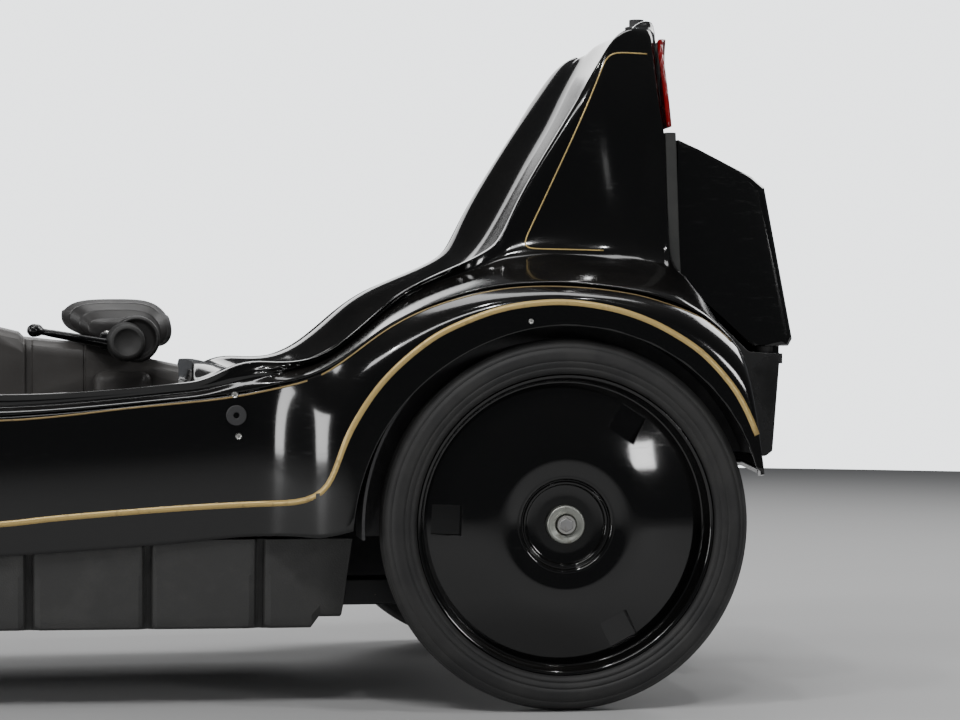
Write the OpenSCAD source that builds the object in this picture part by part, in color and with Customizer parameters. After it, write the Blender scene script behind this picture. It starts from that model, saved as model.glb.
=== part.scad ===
// Three-wheeled car: one steered front wheel, two rear wheels under arches, one low seat.
// Millimetres. The car faces -X, its left side is -Y, the floor is z = 0.

/* [Overall] */
// distance between the front axle and the rear axle
wheelbase = 1306; // [1150:1:1600]
// width over the rear wheel arches
body_width = 744; // [680:1:900]
// height of the tail top above the floor
tail_height = 782; // [720:1:900]
// wall of the moulded shells
shell_wall = 4; // [3:0.5:5]

/* [Wheels] */
// rear tyre outside diameter
rear_tyre_d = 406; // [380:1:412]
// rear tyre section width
rear_tyre_w = 48; // [40:1:52]
// front tyre outside diameter
front_tyre_d = 317; // [290:1:325]
// front tyre section width
front_tyre_w = 44; // [38:1:48]
// diameter of the fixed rear axle
axle_d = 20; // [16:1:24]
// radial clearance of every running fit
running = 0.05; // [0.02:0.01:0.1]

/* [Controls] */
// crank arm length
crank_arm = 135; // [120:1:145]
// lean of the steering axis, top towards the seat
head_lean = 12; // [6:1:15]
// handlebar half width to the outer end of a grip
bar_half = 200; // [180:1:215]

/* [Boot] */
// half width of the boot lid
lid_half = 190; // [170:1:191]
// bore of the mast socket on the tail
mast_bore = 8; // [6:0.5:10]

/* [Hidden] */

// gap between two fitted pieces
seat_gap = 0.4;
// the boot lid reaches this far behind the rear axle
lid_reach = 298.5;
// the nose reaches this far ahead of the front axle
nose_reach = 210;
length = wheelbase + lid_reach + nose_reach;
rear_x = length / 2 - lid_reach;
front_x = rear_x - wheelbase;
rear_r = rear_tyre_d / 2;
front_r = front_tyre_d / 2;
track_half = body_width / 2 - 27;
rim_r = rear_r - 39;
front_rim_r = front_r - 36;
ky = body_width / 744;

// nominal stations are measured from the rear axle of a 1306 mm wheelbase
seat_edge = -399;
stretch = (wheelbase + seat_edge) / (1306 + seat_edge);
function sx(x) = rear_x + (x >= seat_edge ? x : seat_edge + (x - seat_edge) * stretch);
function sz(z) = z <= 500 ? z : 500 + (z - 500) * (tail_height - 500) / 282;

crank_x = sx(-1019);
crank_z = 342;
column_x = sx(-478);
column_z = 150;

function lerp(a, b, t) = a + (b - a) * t;
function unit(v) = v / max(norm(v), 0.000001);
function clip(v, lo, hi) = max(lo, min(hi, v));

// smooth monotone curve through a table of [key, value] control points
function cell(x, T, k = 0) = (k >= len(T) - 2 || x < T[k + 1][0]) ? k : cell(x, T, k + 1);
function rise(T, k) = (T[k + 1][1] - T[k][1]) / (T[k + 1][0] - T[k][0]);
function lean(T, k) =
    k == 0 ? rise(T, 0) : k == len(T) - 1 ? rise(T, k - 1) :
    rise(T, k - 1) * rise(T, k) <= 0 ? 0 :
    2 * rise(T, k - 1) * rise(T, k) / (rise(T, k - 1) + rise(T, k));
function curve(x, T) =
    let (k = cell(x, T), h = T[k + 1][0] - T[k][0], t = clip((x - T[k][0]) / h, 0, 1))
    (2 * t * t * t - 3 * t * t + 1) * T[k][1] + (t * t * t - 2 * t * t + t) * h * lean(T, k)
    + (3 * t * t - 2 * t * t * t) * T[k + 1][1] + (t * t * t - t * t) * h * lean(T, k + 1);

// wall built on a grid of points: outer surface, inner surface one wall away, closed rims
function gone(i, j, n, m, holes) =
    i < 0 || j < 0 || i >= n || j >= m
    || len([for (h = holes) if (i >= h[0] && i < h[1] && j >= h[2] && j < h[3]) 1]) > 0;
function grid_normal(P, i, j, side, holes) =
    let (n = len(P) - 1, m = len(P[0]) - 1,
         a = gone(i, j, n, m, holes), b = gone(i - 1, j, n, m, holes),
         c = gone(i, j - 1, n, m, holes), d = gone(i - 1, j - 1, n, m, holes))
    a && b && c && d ? [0, 0, 0] :
    side * unit(cross(P[a && c ? i : i + 1][j] - P[b && d ? i : i - 1][j],
                      P[i][a && b ? j : j + 1] - P[i][c && d ? j : j - 1]));
function tri(a, b, c, d, side) = side > 0 ? [[a, d, c], [a, c, b]] : [[a, b, c], [a, c, d]];
module skin(P, wall, side, holes = [], end_row = -1) {
    n = len(P) - 1;
    m = len(P[0]) - 1;
    half = (n + 1) * (m + 1);
    outer = [for (i = [0:n]) for (j = [0:m]) P[i][j]];
    inner = [for (i = [0:n]) for (j = [0:m]) let (g = grid_normal(P, i, j, side, holes))
        P[i][j] - wall * (i == end_row && g[0] < 0 ? unit([0, g[1], g[2]]) : g)];
    function id(i, j) = i * (m + 1) + j;
    function rim(a, b) = tri(a, b, b + half, a + half, -side);
    faces = [for (i = [0:n - 1]) for (j = [0:m - 1]) if (!gone(i, j, n, m, holes))
        each concat(
            tri(id(i, j), id(i + 1, j), id(i + 1, j + 1), id(i, j + 1), side),
            tri(id(i, j) + half, id(i + 1, j) + half, id(i + 1, j + 1) + half,
                id(i, j + 1) + half, -side),
            gone(i, j - 1, n, m, holes) ? rim(id(i, j), id(i + 1, j)) : [],
            gone(i + 1, j, n, m, holes) ? rim(id(i + 1, j), id(i + 1, j + 1)) : [],
            gone(i, j + 1, n, m, holes) ? rim(id(i + 1, j + 1), id(i, j + 1)) : [],
            gone(i - 1, j, n, m, holes) ? rim(id(i, j + 1), id(i, j)) : [])];
    polyhedron(points = concat(outer, inner), faces = faces, convexity = 8);
}

// the tail ends in the plane of the boot frame, and the shelves start behind that frame
tail_end = 141;
shelf_start = 157;

// ---- body lines: [station from the rear axle, value] ----
// height of the waist seam
SEAM = [[-1508, 336], [-1400, 330], [-1100, 322], [-900, 319], [-608, 321], [-541, 326],
    [-472, 334], [-363, 345], [-270, 367], [-201, 415], [-136, 447], [-70, 463], [-4, 466],
    [85, 456], [150, 434], [190, 402], [203, 387], [212, 340], [218, 292], [221, 256]];
// half width of the waist seam
WAIST = [[-1508, 70], [-1500, 104], [-1480, 134], [-1440, 162], [-1380, 184], [-1300, 204],
    [-1100, 240], [-900, 266], [-700, 286], [-500, 298], [-380, 302], [-330, 306],
    [-300, 317], [-270, 335], [-235, 344], [221, 344]];
// height of the sill, of the seat sides and of the tail ridges
RIDGE = [[-1508, 346], [-1500, 354], [-1480, 366], [-1440, 382], [-1380, 402], [-1300, 420],
    [-1200, 428], [-1100, 420], [-1000, 400], [-900, 380], [-750, 354], [-608, 344],
    [-560, 340], [-486, 351], [-390, 360], [-346, 383], [-310, 379], [-272, 381],
    [-240, 398], [-203, 430], [-181, 450], [-148, 470], [-100, 489], [-65, 506],
    [-53, 520], [-35, 560], [-12, 600], [13, 640], [38, 680], [64, 720], [77, 740],
    [91, 755], [105, 762], [118, 765], [128, 764], [135, 757], [tail_end, 646]];
// half width of those ridges
RIDGE_Y = [[-1508, 52], [-1500, 86], [-1480, 112], [-1440, 138], [-1380, 160], [-1300, 182],
    [-1100, 224], [-900, 255], [-700, 279], [-500, 292], [-380, 296], [-272, 290],
    [-203, 280], [-148, 272], [-100, 256], [-53, 240], [38, 232], [64, 214], [77, 204],
    [91, 192], [105, 180], [118, 172], [128, 168], [135, 166], [tail_end, 204]];
// height of the bonnet, foot wells, seat and back rest along the middle
FLOOR = [[-1508, 347], [-1500, 358], [-1480, 376], [-1440, 398], [-1380, 420], [-1300, 440],
    [-1222, 450], [-1214, 446], [-1207, 330], [-1190, 262], [-1160, 215], [-1120, 181],
    [-1080, 162], [-1019, 152], [-900, 152], [-830, 160], [-700, 200], [-600, 240],
    [-500, 285], [-430, 322], [-406, 336], [-398, 379], [-380, 380], [-340, 364],
    [-280, 348], [-230, 354], [-190, 376], [-150, 405], [-110, 436], [-70, 466],
    [-35, 496], [-10, 524], [33, 602], [80, 690], [92, 724], [104, 762], [112, 775],
    [120, 779], [128, 779.5], [135, 771], [tail_end, 646]];
// height where the tail side meets the shoulder
SHOULDER = [[-272, 376], [-240, 390], [-203, 424], [-148, 462], [-100, 478], [-53, 492],
    [0, 500], [100, 500], [130, 496], [141, 489], [157, 476], [180, 446], [190, 424],
    [203, 404],
    [212, 352], [218, 300], [221, 262]];
// half width of the tail side by height, along the ridges and at the boot frame
TAIL_SIDE = [[440, 268], [500, 243], [560, 237], [640, 235], [680, 231], [720, 214],
    [760, 193], [782, 184]];
REAR_SIDE = [[440, 256], [480, 235], [520, 226], [560, 220], [600, 214], [655, 206],
    [700, 194], [740, 176], [766, 164], [782, 152]];

STATIONS = [-1508, -1500, -1480, -1440, -1380, -1300, -1222, -1214, -1207, -1190, -1160,
    -1120, -1080, -1019, -900, -830, -760, -700, -600, -500, -430, -406, -398, -380, -346,
    -310, -272, -240, -203, -181, -148, -100, -65, -53, -35, -12, 13, 38, 64, 77, 91, 105,
    118, 128, 135, tail_end, shelf_start, 172, 190, 203, 212, 218, 221];

console_half = 62;
tail_bow = 30;
// the shelf between an arch and the boot: its height at most, and its inner edge
shelf_top = 472;
shelf_in = 196;
function side_half(x, z) = let (t = clip((x - 50) / (tail_end - 50), 0, 1))
    lerp(curve(z, TAIL_SIDE), curve(z, REAR_SIDE), t * t * (3 - 2 * t));
function ridge_out(x, z, t) =
    x > -60 ? side_half(x, z) : lerp(x < -272 ? curve(x, WAIST) - 4 :
        curve(curve(x, SHOULDER), TAIL_SIDE) + 6, curve(x, RIDGE_Y) + 4, t);
function half_section(x) =
    let (w = curve(x, WAIST), s = curve(x, SEAM) + seat_gap,
         k = x > tail_end ? min(curve(x, SHOULDER) - 1, shelf_top) : curve(x, RIDGE),
         hr = curve(x, RIDGE_Y), f = x > tail_end ? k : curve(x, FLOOR),
         hb = x < -272 ? w - 3 : min(w - 40, side_half(x, curve(x, SHOULDER)) + 6),
         b = x < -272 ? lerp(s, k, 0.55) : x > tail_end ? curve(x, SHOULDER) :
             min(curve(x, SHOULDER), k - 2),
         open = clip((-330 - x) / 90, 0, 1),
         in_y = min(hr - 20, lerp(hr, console_half + 24, lerp(0.16, 0.1, open))),
         low_y = lerp(hr, console_half + 24, lerp(0.52, 0.34, open)))
    [[w - (x < -272 ? 0 : 2), s + (x < -272 ? 0 : 0.6)], [w - (x < -272 ? 1 : 9), lerp(s, b, x < -272 ? 0.3 : 0.14)],
     [lerp(w - 9, hb, x < -272 ? 0.6 : 0.7), lerp(s, b, 0.72)], [hb, b],
     x > tail_end ? [hb - 6, k] : [ridge_out(x, lerp(b, k, 0.3), 0.3), lerp(b, k, 0.3)],
     x > tail_end ? [shelf_in, k] : [ridge_out(x, lerp(b, k, 0.65), 0.65), lerp(b, k, 0.65)],
     [ridge_out(x, lerp(b, k, 0.92), 0.92), lerp(b, k, 0.92)],
     [hr - 6, k + 1], [in_y, lerp(k, f, 0.06)], [in_y - lerp(10, 3, open), lerp(k, f, 0.3)],
     [lerp(in_y - 10, low_y, 0.5), lerp(k, f, 0.72)], [low_y, lerp(k, f, 0.95)],
     [lerp(low_y, console_half, 0.5), f], [(console_half + 0.5) / ky, f]];
function bow(x, y, z) = tail_bow * (1 - pow(min(1, abs(y) / 172), 2))
    * clip((x - 80) / 50, 0, 1) * clip((z - 646) / 111, 0, 1);
function deck_row(x) =
    let (h = half_section(x), m = len(h) - 1)
    [for (p = concat([for (k = [0:m]) [-h[k][0], h[k][1]]], [[0, h[m][1]]],
                     [for (k = [m:-1:0]) h[k]]))
        [sx(x) + bow(x, p[0], p[1]), p[0] * ky, sz(p[1])]];
function place(x) = [for (i = [0:len(STATIONS) - 1]) if (STATIONS[i] == x) i][0];

module upper_shell() color("#0b0b0c")
    skin([for (x = STATIONS) deck_row(x)], shell_wall, 1,
         [[place(-1214), place(-406), 13, 15], [place(tail_end), place(shelf_start), 3, 25],
          [place(shelf_start), len(STATIONS) - 1, 5, 23]], place(tail_end));

// ---- lower shell: a band from the waist seam to the skirt and round the wheel arches ----
arch_r = 218;
SKIRT = [[-1508, 240], [-1440, 205], [-1300, 178], [-1100, 168], [-608, 168], [-573, 172],
    [-446, 180], [-328, 190], [-240, 191]];
NOSE_LINE = [[-1508, 0], [-1508, 35], [-1508, 70], [-1500, 104], [-1480, 134], [-1440, 162],
    [-1380, 184]];
SIDE_X = [-1300, -1200, -1100, -980, -860, -740, -620, -520, -440, -380, -350, -330, -310,
    -290, -275, -262];
// outline of the arch: top of the band, and the angle of the lip point under it
ARCH = [[-250, 384, 181], [-228, 399, 172], [-201, 415, 160], [-170, 432, 149],
    [-136, 447, 137], [-100, 458, 125], [-70, 463, 114], [-35, 466, 102], [-4, 466, 91],
    [40, 463, 78], [85, 456, 65], [118, 446, 54], [150, 434, 44], [172, 418, 36],
    [190, 402, 29], [203, 387, 24], [212, 340, 20], [218, 292, 17.5], [221, 256, 16]];
function lip_r(a) = arch_r + 16 * clip((a - 120) / 60, 0, 1);
BAND = [0, 0.06, 0.16, 0.3, 0.5, 0.72, 0.9, 1];
function arch_y(t) = t < 0.35 ? lerp(344, 372, sin(90 * t / 0.35)) : 372;
function flare(x) = let (t = clip((x + 335) / 95, 0, 1)) t * t;
function band_y(x, t) =
    lerp(curve(x, WAIST) + 3 * sin(180 * t) - 4 * t, arch_y(t), flare(x));
function band_row(top, low) = [for (t = BAND)
    let (x = lerp(top[0], low[0], t)) [x, band_y(x, t), lerp(top[1], low[1], t)]];
side_rows = [for (x = SIDE_X) band_row([x, curve(x, SEAM) - 4 * seat_gap], [x, curve(x, SKIRT)])];
arch_rows = [for (a = ARCH) band_row([a[0], min(a[1], curve(a[0], SEAM)) - 5 * seat_gap],
    [lip_r(a[2]) * cos(a[2]), rear_r + lip_r(a[2]) * sin(a[2])])];
nose_rows = [for (p = NOSE_LINE) let (top = curve(p[0], SEAM) - seat_gap,
        low = curve(p[0], SKIRT), span = max(1, norm([p[0] + 1350, p[1]])))
    [for (t = BAND) let (g = 6 * t * t)
        [p[0] + g * (-p[0] - 1350) / span, p[1] * (1 - g / span), lerp(top, low, t)]]];
half_rows = concat(nose_rows, side_rows, arch_rows);
rows_n = len(half_rows) - 1;
function on_left(r) = [for (p = r) [sx(p[0]), -p[1] * ky, p[2]]];
function on_right(r) = [for (p = r) [sx(p[0]), p[1] * ky, p[2]]];

module lower_shell() color("#0a0a0b")
    skin(concat([for (k = [rows_n:-1:0]) on_left(half_rows[k])],
                [for (k = [1:rows_n]) on_right(half_rows[k])]), shell_wall, 1);

// ---- undertray: dark floor pan between the wheels ----
TRAY_X = [-1134, -1127, -1112, -1000, -860, -720, -590, -578, -566, -460, -450, -440,
    -340, -328, -316, -271, -262, -238];
tray_floor = 86;
tray_wall = 3.5;
function tray_z(x) = x < -1112 ? lerp(158, tray_floor, clip((x + 1134) / 22, 0, 1)) :
    x > -271 ? tray_floor + 12 : tray_floor;
function groove(x) = (x == -578 || x == -450 || x == -328) ? 5 : 0;
function tray_row(x) =
    let (w = curve(min(x, -340), WAIST) - 16 - groove(x), z = tray_z(x), top = 186,
         e = z + groove(x))
    [for (p = [[-w - 7 - groove(x), top], [-w, lerp(top, e, 0.4)], [-w + 5, lerp(top, e, 0.85)],
               [-w + 10, e + 3], [-w + 20, z], [-w / 2, z], [-70, z], [0, z], [70, z],
               [w / 2, z], [w - 20, z], [w - 10, e + 3], [w - 5, lerp(top, e, 0.85)],
               [w, lerp(top, e, 0.4)], [w + 7 + groove(x), top]])
        [sx(x) + (x == -238 ? (p[1] - z) / 8 : 0), p[0] * ky, p[1]]];
module undertray() color("#2b2b2d")
    skin([for (x = TRAY_X) tray_row(x)], tray_wall, -1, [[0, 2, 6, 8]]);

// ---- centre console: cover over the beam, chain and steering ----
CONSOLE_TOP = [[-1212, 446], [-1180, 454], [-1019, 456], [-900, 442], [-760, 428],
    [-615, 417], [-594, 412], [-588, 406], [-517, 399], [-437, 379], [-404, 372]];
CONSOLE_X = [-1211, -1204, -1190, -1160, -1120, -1070, -1019, -960, -900, -830, -760, -690,
    -615, -594, -588, -550, -517, -478, -437, -408];
function console_row(x) =
    let (top = curve(x, CONSOLE_TOP), foot = curve(x, FLOOR) - 8, c = console_half)
    [for (p = [[-c, foot], [-c, lerp(foot, top, 0.5)], [-c, top - 18], [-c + 4, top - 8],
               [-c + 12, top - 2], [-c + 24, top], [0, top + 1], [c - 24, top],
               [c - 12, top - 2], [c - 4, top - 8], [c, top - 18],
               [c, lerp(foot, top, 0.5)], [c, foot]]) [sx(x), p[0], p[1]]];
module centre_console() color("#4a443d")
    difference() {
        skin([for (x = CONSOLE_X) console_row(x)], 3.5, 1);
        translate([crank_x, -console_half - 10, crank_z])
            rotate([-90, 0, 0]) cylinder(h = 2 * console_half + 20, r = 16, $fn = 48);
        translate([column_x, 0, 300]) cylinder(h = 150, r = 20, $fn = 48);
    }

// ---- chassis: one beam behind the front wheel, forking to the two rear axle brackets ----
beam = 46;
beam_z = tray_floor + tray_wall + seat_gap;
module bar_between(a, b, w, h) {
    d = b - a;
    translate(a)
        rotate([0, atan2(norm([d[0], d[1]]), d[2]), atan2(d[1], d[0])])
            translate([-h / 2, -w / 2, 0]) cube([h, w, norm(d)]);
}
head_s = sin(head_lean);
head_c = cos(head_lean);
head_foot = [front_x + 235 * head_s, 0, front_r + 235 * head_c];
function on_head(up, out) =
    [head_foot[0] + up * head_s + out * head_c, head_foot[2] + up * head_c - out * head_s];
fork_x = sx(-330);
arm_y = 205;
module chassis_beam() color("#1c1d1f")
    union() {
        translate([0, beam / 2, 0]) rotate([90, 0, 0]) linear_extrude(height = beam)
            polygon([on_head(24, 19 + seat_gap), [front_x + 196, 332],
                     [front_x + 214, 312], [front_x + 252, beam_z + beam],
                     [fork_x + 20, beam_z + beam], [fork_x + 20, beam_z],
                     [front_x + 206, beam_z], [front_x + 162, 288],
                     on_head(-24, 19 + seat_gap)]);
        translate([fork_x, -arm_y - 20, beam_z]) cube([40, 2 * arm_y + 40, beam]);
        for (s = [-1, 1])
            translate([fork_x + 30, s * arm_y - 20, beam_z + 16])
                cube([rear_x - fork_x - 90, 40, beam - 16]);
        translate([crank_x - 15, -15, beam_z + beam - 2])
            cube([30, 30, crank_z - beam_z - beam + 2 - 21 - seat_gap]);
        translate([column_x - 15, -15, beam_z + beam - 2])
            cube([30, 30, 230 - beam_z - beam + 2]);
    }
module steering_head() color("#1c1d1f")
    translate(head_foot) rotate([0, head_lean, 0]) translate([0, 0, -26])
        difference() {
            cylinder(h = 62, r = 19, $fn = 48);
            translate([0, 0, -1]) cylinder(h = 64, r = 11 + running, $fn = 48);
        }
module crank_bearing() color("#55585c")
    translate([crank_x, 0, crank_z]) rotate([-90, 0, 0])
        difference() {
            translate([0, 0, -38]) cylinder(h = 76, r = 21, $fn = 48);
            translate([0, 0, -40]) cylinder(h = 80, r = 9 + running, $fn = 48);
        }
module column_bearing() color("#55585c")
    translate([column_x, 0, 230 + seat_gap])
        difference() {
            cylinder(h = 165, r = 16, $fn = 48);
            translate([0, 0, 12]) cylinder(h = 160, r = 9 + running, $fn = 48);
        }

// ---- rear axle and its brackets ----
module rear_axle() color("#9a9da1")
    translate([rear_x, -track_half - 15, rear_r]) rotate([-90, 0, 0])
        cylinder(h = 2 * track_half + 30, d = axle_d, $fn = 64);
module axle_bracket(s)
    difference() {
        union() {
            translate([rear_x - 60 + seat_gap, s * arm_y - 12, 106]) cube([74, 24, 30]);
            translate([rear_x - 26, s * arm_y - 12, 120]) cube([52, 24, 86]);
            translate([rear_x, s * arm_y - 12, rear_r]) rotate([-90, 0, 0])
                cylinder(h = 24, r = 26, $fn = 64);
        }
        translate([rear_x, s * arm_y - 14, rear_r]) rotate([-90, 0, 0])
            cylinder(h = 28, d = axle_d, $fn = 64);
    }
module axle_bracket_left() color("#2a2b2d") axle_bracket(-1);
module axle_bracket_right() color("#2a2b2d") axle_bracket(1);

// ---- heavy closed-in masses ----
module battery() color("#303236")
    translate([fork_x + 40 + seat_gap, -82, 110]) cube([164, 164, 190]);
module motor_gearbox() color("#6d7074")
    union() {
        translate([rear_x + 16, -arm_y + 12 + seat_gap, 150]) cube([90, 48, 112]);
        translate([rear_x + 66, -arm_y + 40, 205]) rotate([-90, 0, 0])
            cylinder(h = 150, r = 44, $fn = 64);
    }

// ---- wheel arch liners ----
liner_in = 302;
module arch_liner(s)
    translate([rear_x, s * liner_in * ky, rear_r]) rotate([s > 0 ? -90 : 90, 0, 0])
        difference() {
            cylinder(h = 372 * ky - shell_wall - seat_gap - liner_in * ky, r = arch_r + 6,
                $fn = 96);
            translate([0, 0, 3]) cylinder(h = 90 * ky, r = arch_r + 3, $fn = 96);
            translate([-300, s > 0 ? 14 : -314, -1]) cube([600, 300, 120]);
            translate([150, s > 0 ? -76 : -224, -1]) cube([150, 300, 120]);
            translate([0, 0, -1]) cylinder(h = 6, r = 34, $fn = 48);
            translate([-34, s > 0 ? 0 : -40, -1]) cube([68, 40, 6]);
        }
module arch_liner_left() color("#18181a") arch_liner(-1);
module arch_liner_right() color("#18181a") arch_liner(1);

// ---- boot frame, bin and lid ----
frame_x = rear_x + tail_end + seat_gap;
frame_t = 13;
FRAME_Z = [478, 500, 530, 560, 600, 630, 641];
frame_outline = concat(
    [for (z = FRAME_Z) [-curve(z, REAR_SIDE) * ky, sz(z)]],
    [for (k = [len(FRAME_Z) - 1:-1:0]) [curve(FRAME_Z[k], REAR_SIDE) * ky, sz(FRAME_Z[k])]]);
module boot_frame() color("#6f7274")
    translate([frame_x, 0, 0]) rotate([90, 0, 90])
        difference() {
            linear_extrude(height = frame_t) polygon(frame_outline);
            translate([0, 0, -1]) linear_extrude(height = frame_t + 2)
                polygon([[-178 * ky, 492], [-170 * ky, 484], [170 * ky, 484], [178 * ky, 492],
                         [178 * ky, sz(614)], [168 * ky, sz(624)], [-168 * ky, sz(624)],
                         [-178 * ky, sz(614)]]);
        }
bin_half = 186;
module side_plate(pts, half)
    translate([0, half, 0]) rotate([90, 0, 0]) linear_extrude(height = 2 * half) polygon(pts);
module boot_bin() color("#151516")
    difference() {
        side_plate([[rear_x + 40, 268], [rear_x + 266, 268], [rear_x + 274, 274],
                    [rear_x + 283, 388], [rear_x + 246, 390], [rear_x + 163, 470],
                    [rear_x + 156, 477.6], [rear_x + 40, 477.6]], bin_half * ky);
        side_plate([[rear_x + 43.5, 271.5], [rear_x + 265, 271.5], [rear_x + 270.7, 276],
                    [rear_x + 280.4, 400], [rear_x + 246, 400], [rear_x + 160, 484],
                    [rear_x + 43.5, 484]], bin_half * ky - 3.5);
    }
// closed outline of the lid seen from the side, and the line where it meets the frame
LID_OUT = [[161, 634], [170, 631], [186, 624], [220, 607], [250, 592], [265, 580],
    [273, 540], [282, 490], [291, 440], [298.5, 404], [294, 396], [280, 395.5],
    [264, 395.5], [252, 396.5]];
LID_IN = [[160, 633], [160, 618], [160, 600], [160, 580], [160, 560], [160, 540],
    [160, 514], [160, 490], [161, 478], [172, 466], [192, 448], [212, 430], [232, 412],
    [249, 397.5]];
LID_Y = [[-1, 0], [-0.998, 0.5], [-0.994, 0.9], [-0.984, 0.965], [-0.962, 0.992], [-0.92, 1],
    [-0.4, 1], [0, 1], [0.4, 1], [0.92, 1], [0.962, 0.992], [0.984, 0.965], [0.994, 0.9],
    [0.998, 0.5], [1, 0]];
hinge_x = rear_x + 292;
hinge_y = 120;
hinge_z = 381;
pin_r = 3;
module boot_lid() color("#0b0b0c")
    union() {
        skin([for (k = LID_Y) [for (j = [0:len(LID_OUT) - 1])
            let (p = lerp(LID_IN[j], LID_OUT[j], k[1]))
            [rear_x + p[0], k[0] * lid_half * ky, sz(p[1])]]], 3.5, -1);
        for (s = [-1, 1])
            translate([hinge_x, s * hinge_y - 12, hinge_z]) rotate([-90, 0, 0])
                difference() {
                    union() {
                        cylinder(h = 24, r = 6, $fn = 32);
                        translate([-5, -16.5, 0]) cube([8, 16.5, 24]);
                    }
                    translate([0, 0, -1]) cylinder(h = 26, r = pin_r + running, $fn = 32);
                }
    }
module boot_hinges() color("#3a3b3d")
    for (s = [-1, 1])
        union() {
            translate([hinge_x, s * hinge_y - 20, hinge_z]) rotate([-90, 0, 0])
                cylinder(h = 40, r = pin_r, $fn = 32);
            for (e = [-1, 1])
                translate([rear_x + 283 + seat_gap, s * hinge_y + e * 16 - 3, hinge_z - 6])
                    cube([hinge_x - rear_x - 283 + 5, 6, 12]);
        }

// ---- lamps and fittings ----
LAMP_Z = [648, 670, 692, 714, 736, 752];
LAMP_U = [-1, -0.985, -0.93, -0.8, -0.6, -0.3, 0, 0.3, 0.6, 0.8, 0.93, 0.985, 1];
// rear face of the tail above the boot frame
function rear_face(y, z) =
    let (t = clip((z - 646) / 111, 0, 1)) rear_x + lerp(tail_end, 135, t) + bow(135, y, z);
function lamp_grid(proud, reach) = [for (u = LAMP_U) if (abs(u) <= reach) [for (z = LAMP_Z)
    let (h = z + (z > 730 ? 8 * (1 - u * u) : 0), y = u * (curve(z, REAR_SIDE) - 2))
    [rear_face(y, z) + proud - (abs(u) == 1 ? 4 : abs(u) > 0.98 ? 1 : 0), y * ky, sz(h)]]];
module tail_lamp() color("#a01218") skin(lamp_grid(11.2, 1), 5, 1);
module lamp_housing() color("#18181a") skin(lamp_grid(5.8, 0.8), 3, 1);
module mast_socket() color("#202124")
    translate([rear_x + 150, 0, sz(780) + 0.2])
        difference() {
            union() {
                cylinder(h = 3, r = 14, $fn = 48);
                cylinder(h = 12, r = 9, $fn = 48);
            }
            translate([0, 0, 2]) cylinder(h = 11, d = mast_bore, $fn = 48);
        }
nose_x = sx(-1508);
module headlamp_housing() color("#1b1c1e")
    difference() {
        translate([nose_x - 7, -62, 262]) cube([6.6, 124, 56]);
        translate([nose_x - 8, -56, 268]) cube([6, 112, 44]);
    }
module headlamp_lens() color("#dfe6ea")
    translate([nose_x - 8, -55.6, 268.4]) cube([5.6, 111.2, 43.2]);
boss_x = rear_x - 355;
boss_y = 304.9 * ky;
boss_z = 322;
module mirror_boss(s)
    translate([boss_x, s * (boss_y + 1), boss_z]) rotate([s > 0 ? -90 : 90, 0, 0])
        difference() {
            cylinder(h = 8, r = 11, $fn = 48);
            translate([0, 0, -1]) cylinder(h = 10, r = 3.2, $fn = 32);
        }
module mirror_boss_left() color("#202124") mirror_boss(-1);
module mirror_boss_right() color("#202124") mirror_boss(1);

// ---- wheels: axis along Y, the outer face away from the car ----
module wheel_frame(x, y, z, s)
    translate([x, y, z]) rotate([s > 0 ? -90 : 90, 0, 0]) children();
module tyre_ring(r, rim, w)
    rotate_extrude($fn = 96)
        polygon([[rim, -w / 2 + 7], [rim + 10, -w / 2 + 2], [rim + 20, -w / 2],
                 [r - 14, -w / 2 + 2], [r - 6, -w / 2 + 7], [r - 1.5, -w / 4], [r, 0],
                 [r - 1.5, w / 4], [r - 6, w / 2 - 7], [r - 14, w / 2 - 2],
                 [rim + 20, w / 2], [rim + 10, w / 2 - 2], [rim, w / 2 - 7],
                 [rim, w / 2 - 12], [rim + 12, w / 2 - 7], [rim + 20, w / 2 - 5],
                 [r - 12, w / 2 - 8], [r - 6, w / 4], [r - 5, 0], [r - 6, -w / 4],
                 [r - 12, -w / 2 + 8], [rim + 20, -w / 2 + 5], [rim + 12, -w / 2 + 7],
                 [rim, -w / 2 + 12]]);
module disc_wheel(rim, w, bore_r, hub)
    rotate_extrude($fn = 96)
        polygon([[bore_r, -hub], [24, -hub], [26, 0], [50, 4], [rim - 34, 6],
                 [rim - 20, 8], [rim - 12, 4], [rim - 9, -w / 2 + 8], [rim + 1, -w / 2 + 6],
                 [rim + 1, -w / 2 + 9], [rim - seat_gap, -w / 2 + 12],
                 [rim - 4, -w / 2 + 14], [rim - 4, w / 2 - 14],
                 [rim - seat_gap, w / 2 - 12], [rim + 1, w / 2 - 9], [rim + 1, w / 2 - 6],
                 [rim - 6, w / 2 - 6], [rim - 10, w / 2 - 9], [rim - 16, 14],
                 [rim - 34, 11], [56, 9], [52, 13], [46, 13], [44, 9], [bore_r, 9]]);
module rear_tyre(s) wheel_frame(rear_x, s * track_half, rear_r, s)
    tyre_ring(rear_r, rim_r + seat_gap, rear_tyre_w);
module rear_wheel(s) wheel_frame(rear_x, s * track_half, rear_r, s)
    disc_wheel(rim_r - 1, rear_tyre_w, axle_d / 2 + running, 38);
module hub_cap(s) wheel_frame(rear_x, s * track_half, rear_r, s)
    union() {
        translate([0, 0, 15 + seat_gap]) cylinder(h = 3, r = 21, $fn = 48);
        translate([0, 0, 17]) cylinder(h = 6, r = 8, $fn = 6);
    }
module rear_tyre_left() color("#242527") rear_tyre(-1);
module rear_tyre_right() color("#242527") rear_tyre(1);
module rear_wheel_left() color("#0c0c0d") rear_wheel(-1);
module rear_wheel_right() color("#0c0c0d") rear_wheel(1);
module hub_cap_left() color("#a7aaad") hub_cap(-1);
module hub_cap_right() color("#a7aaad") hub_cap(1);
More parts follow.
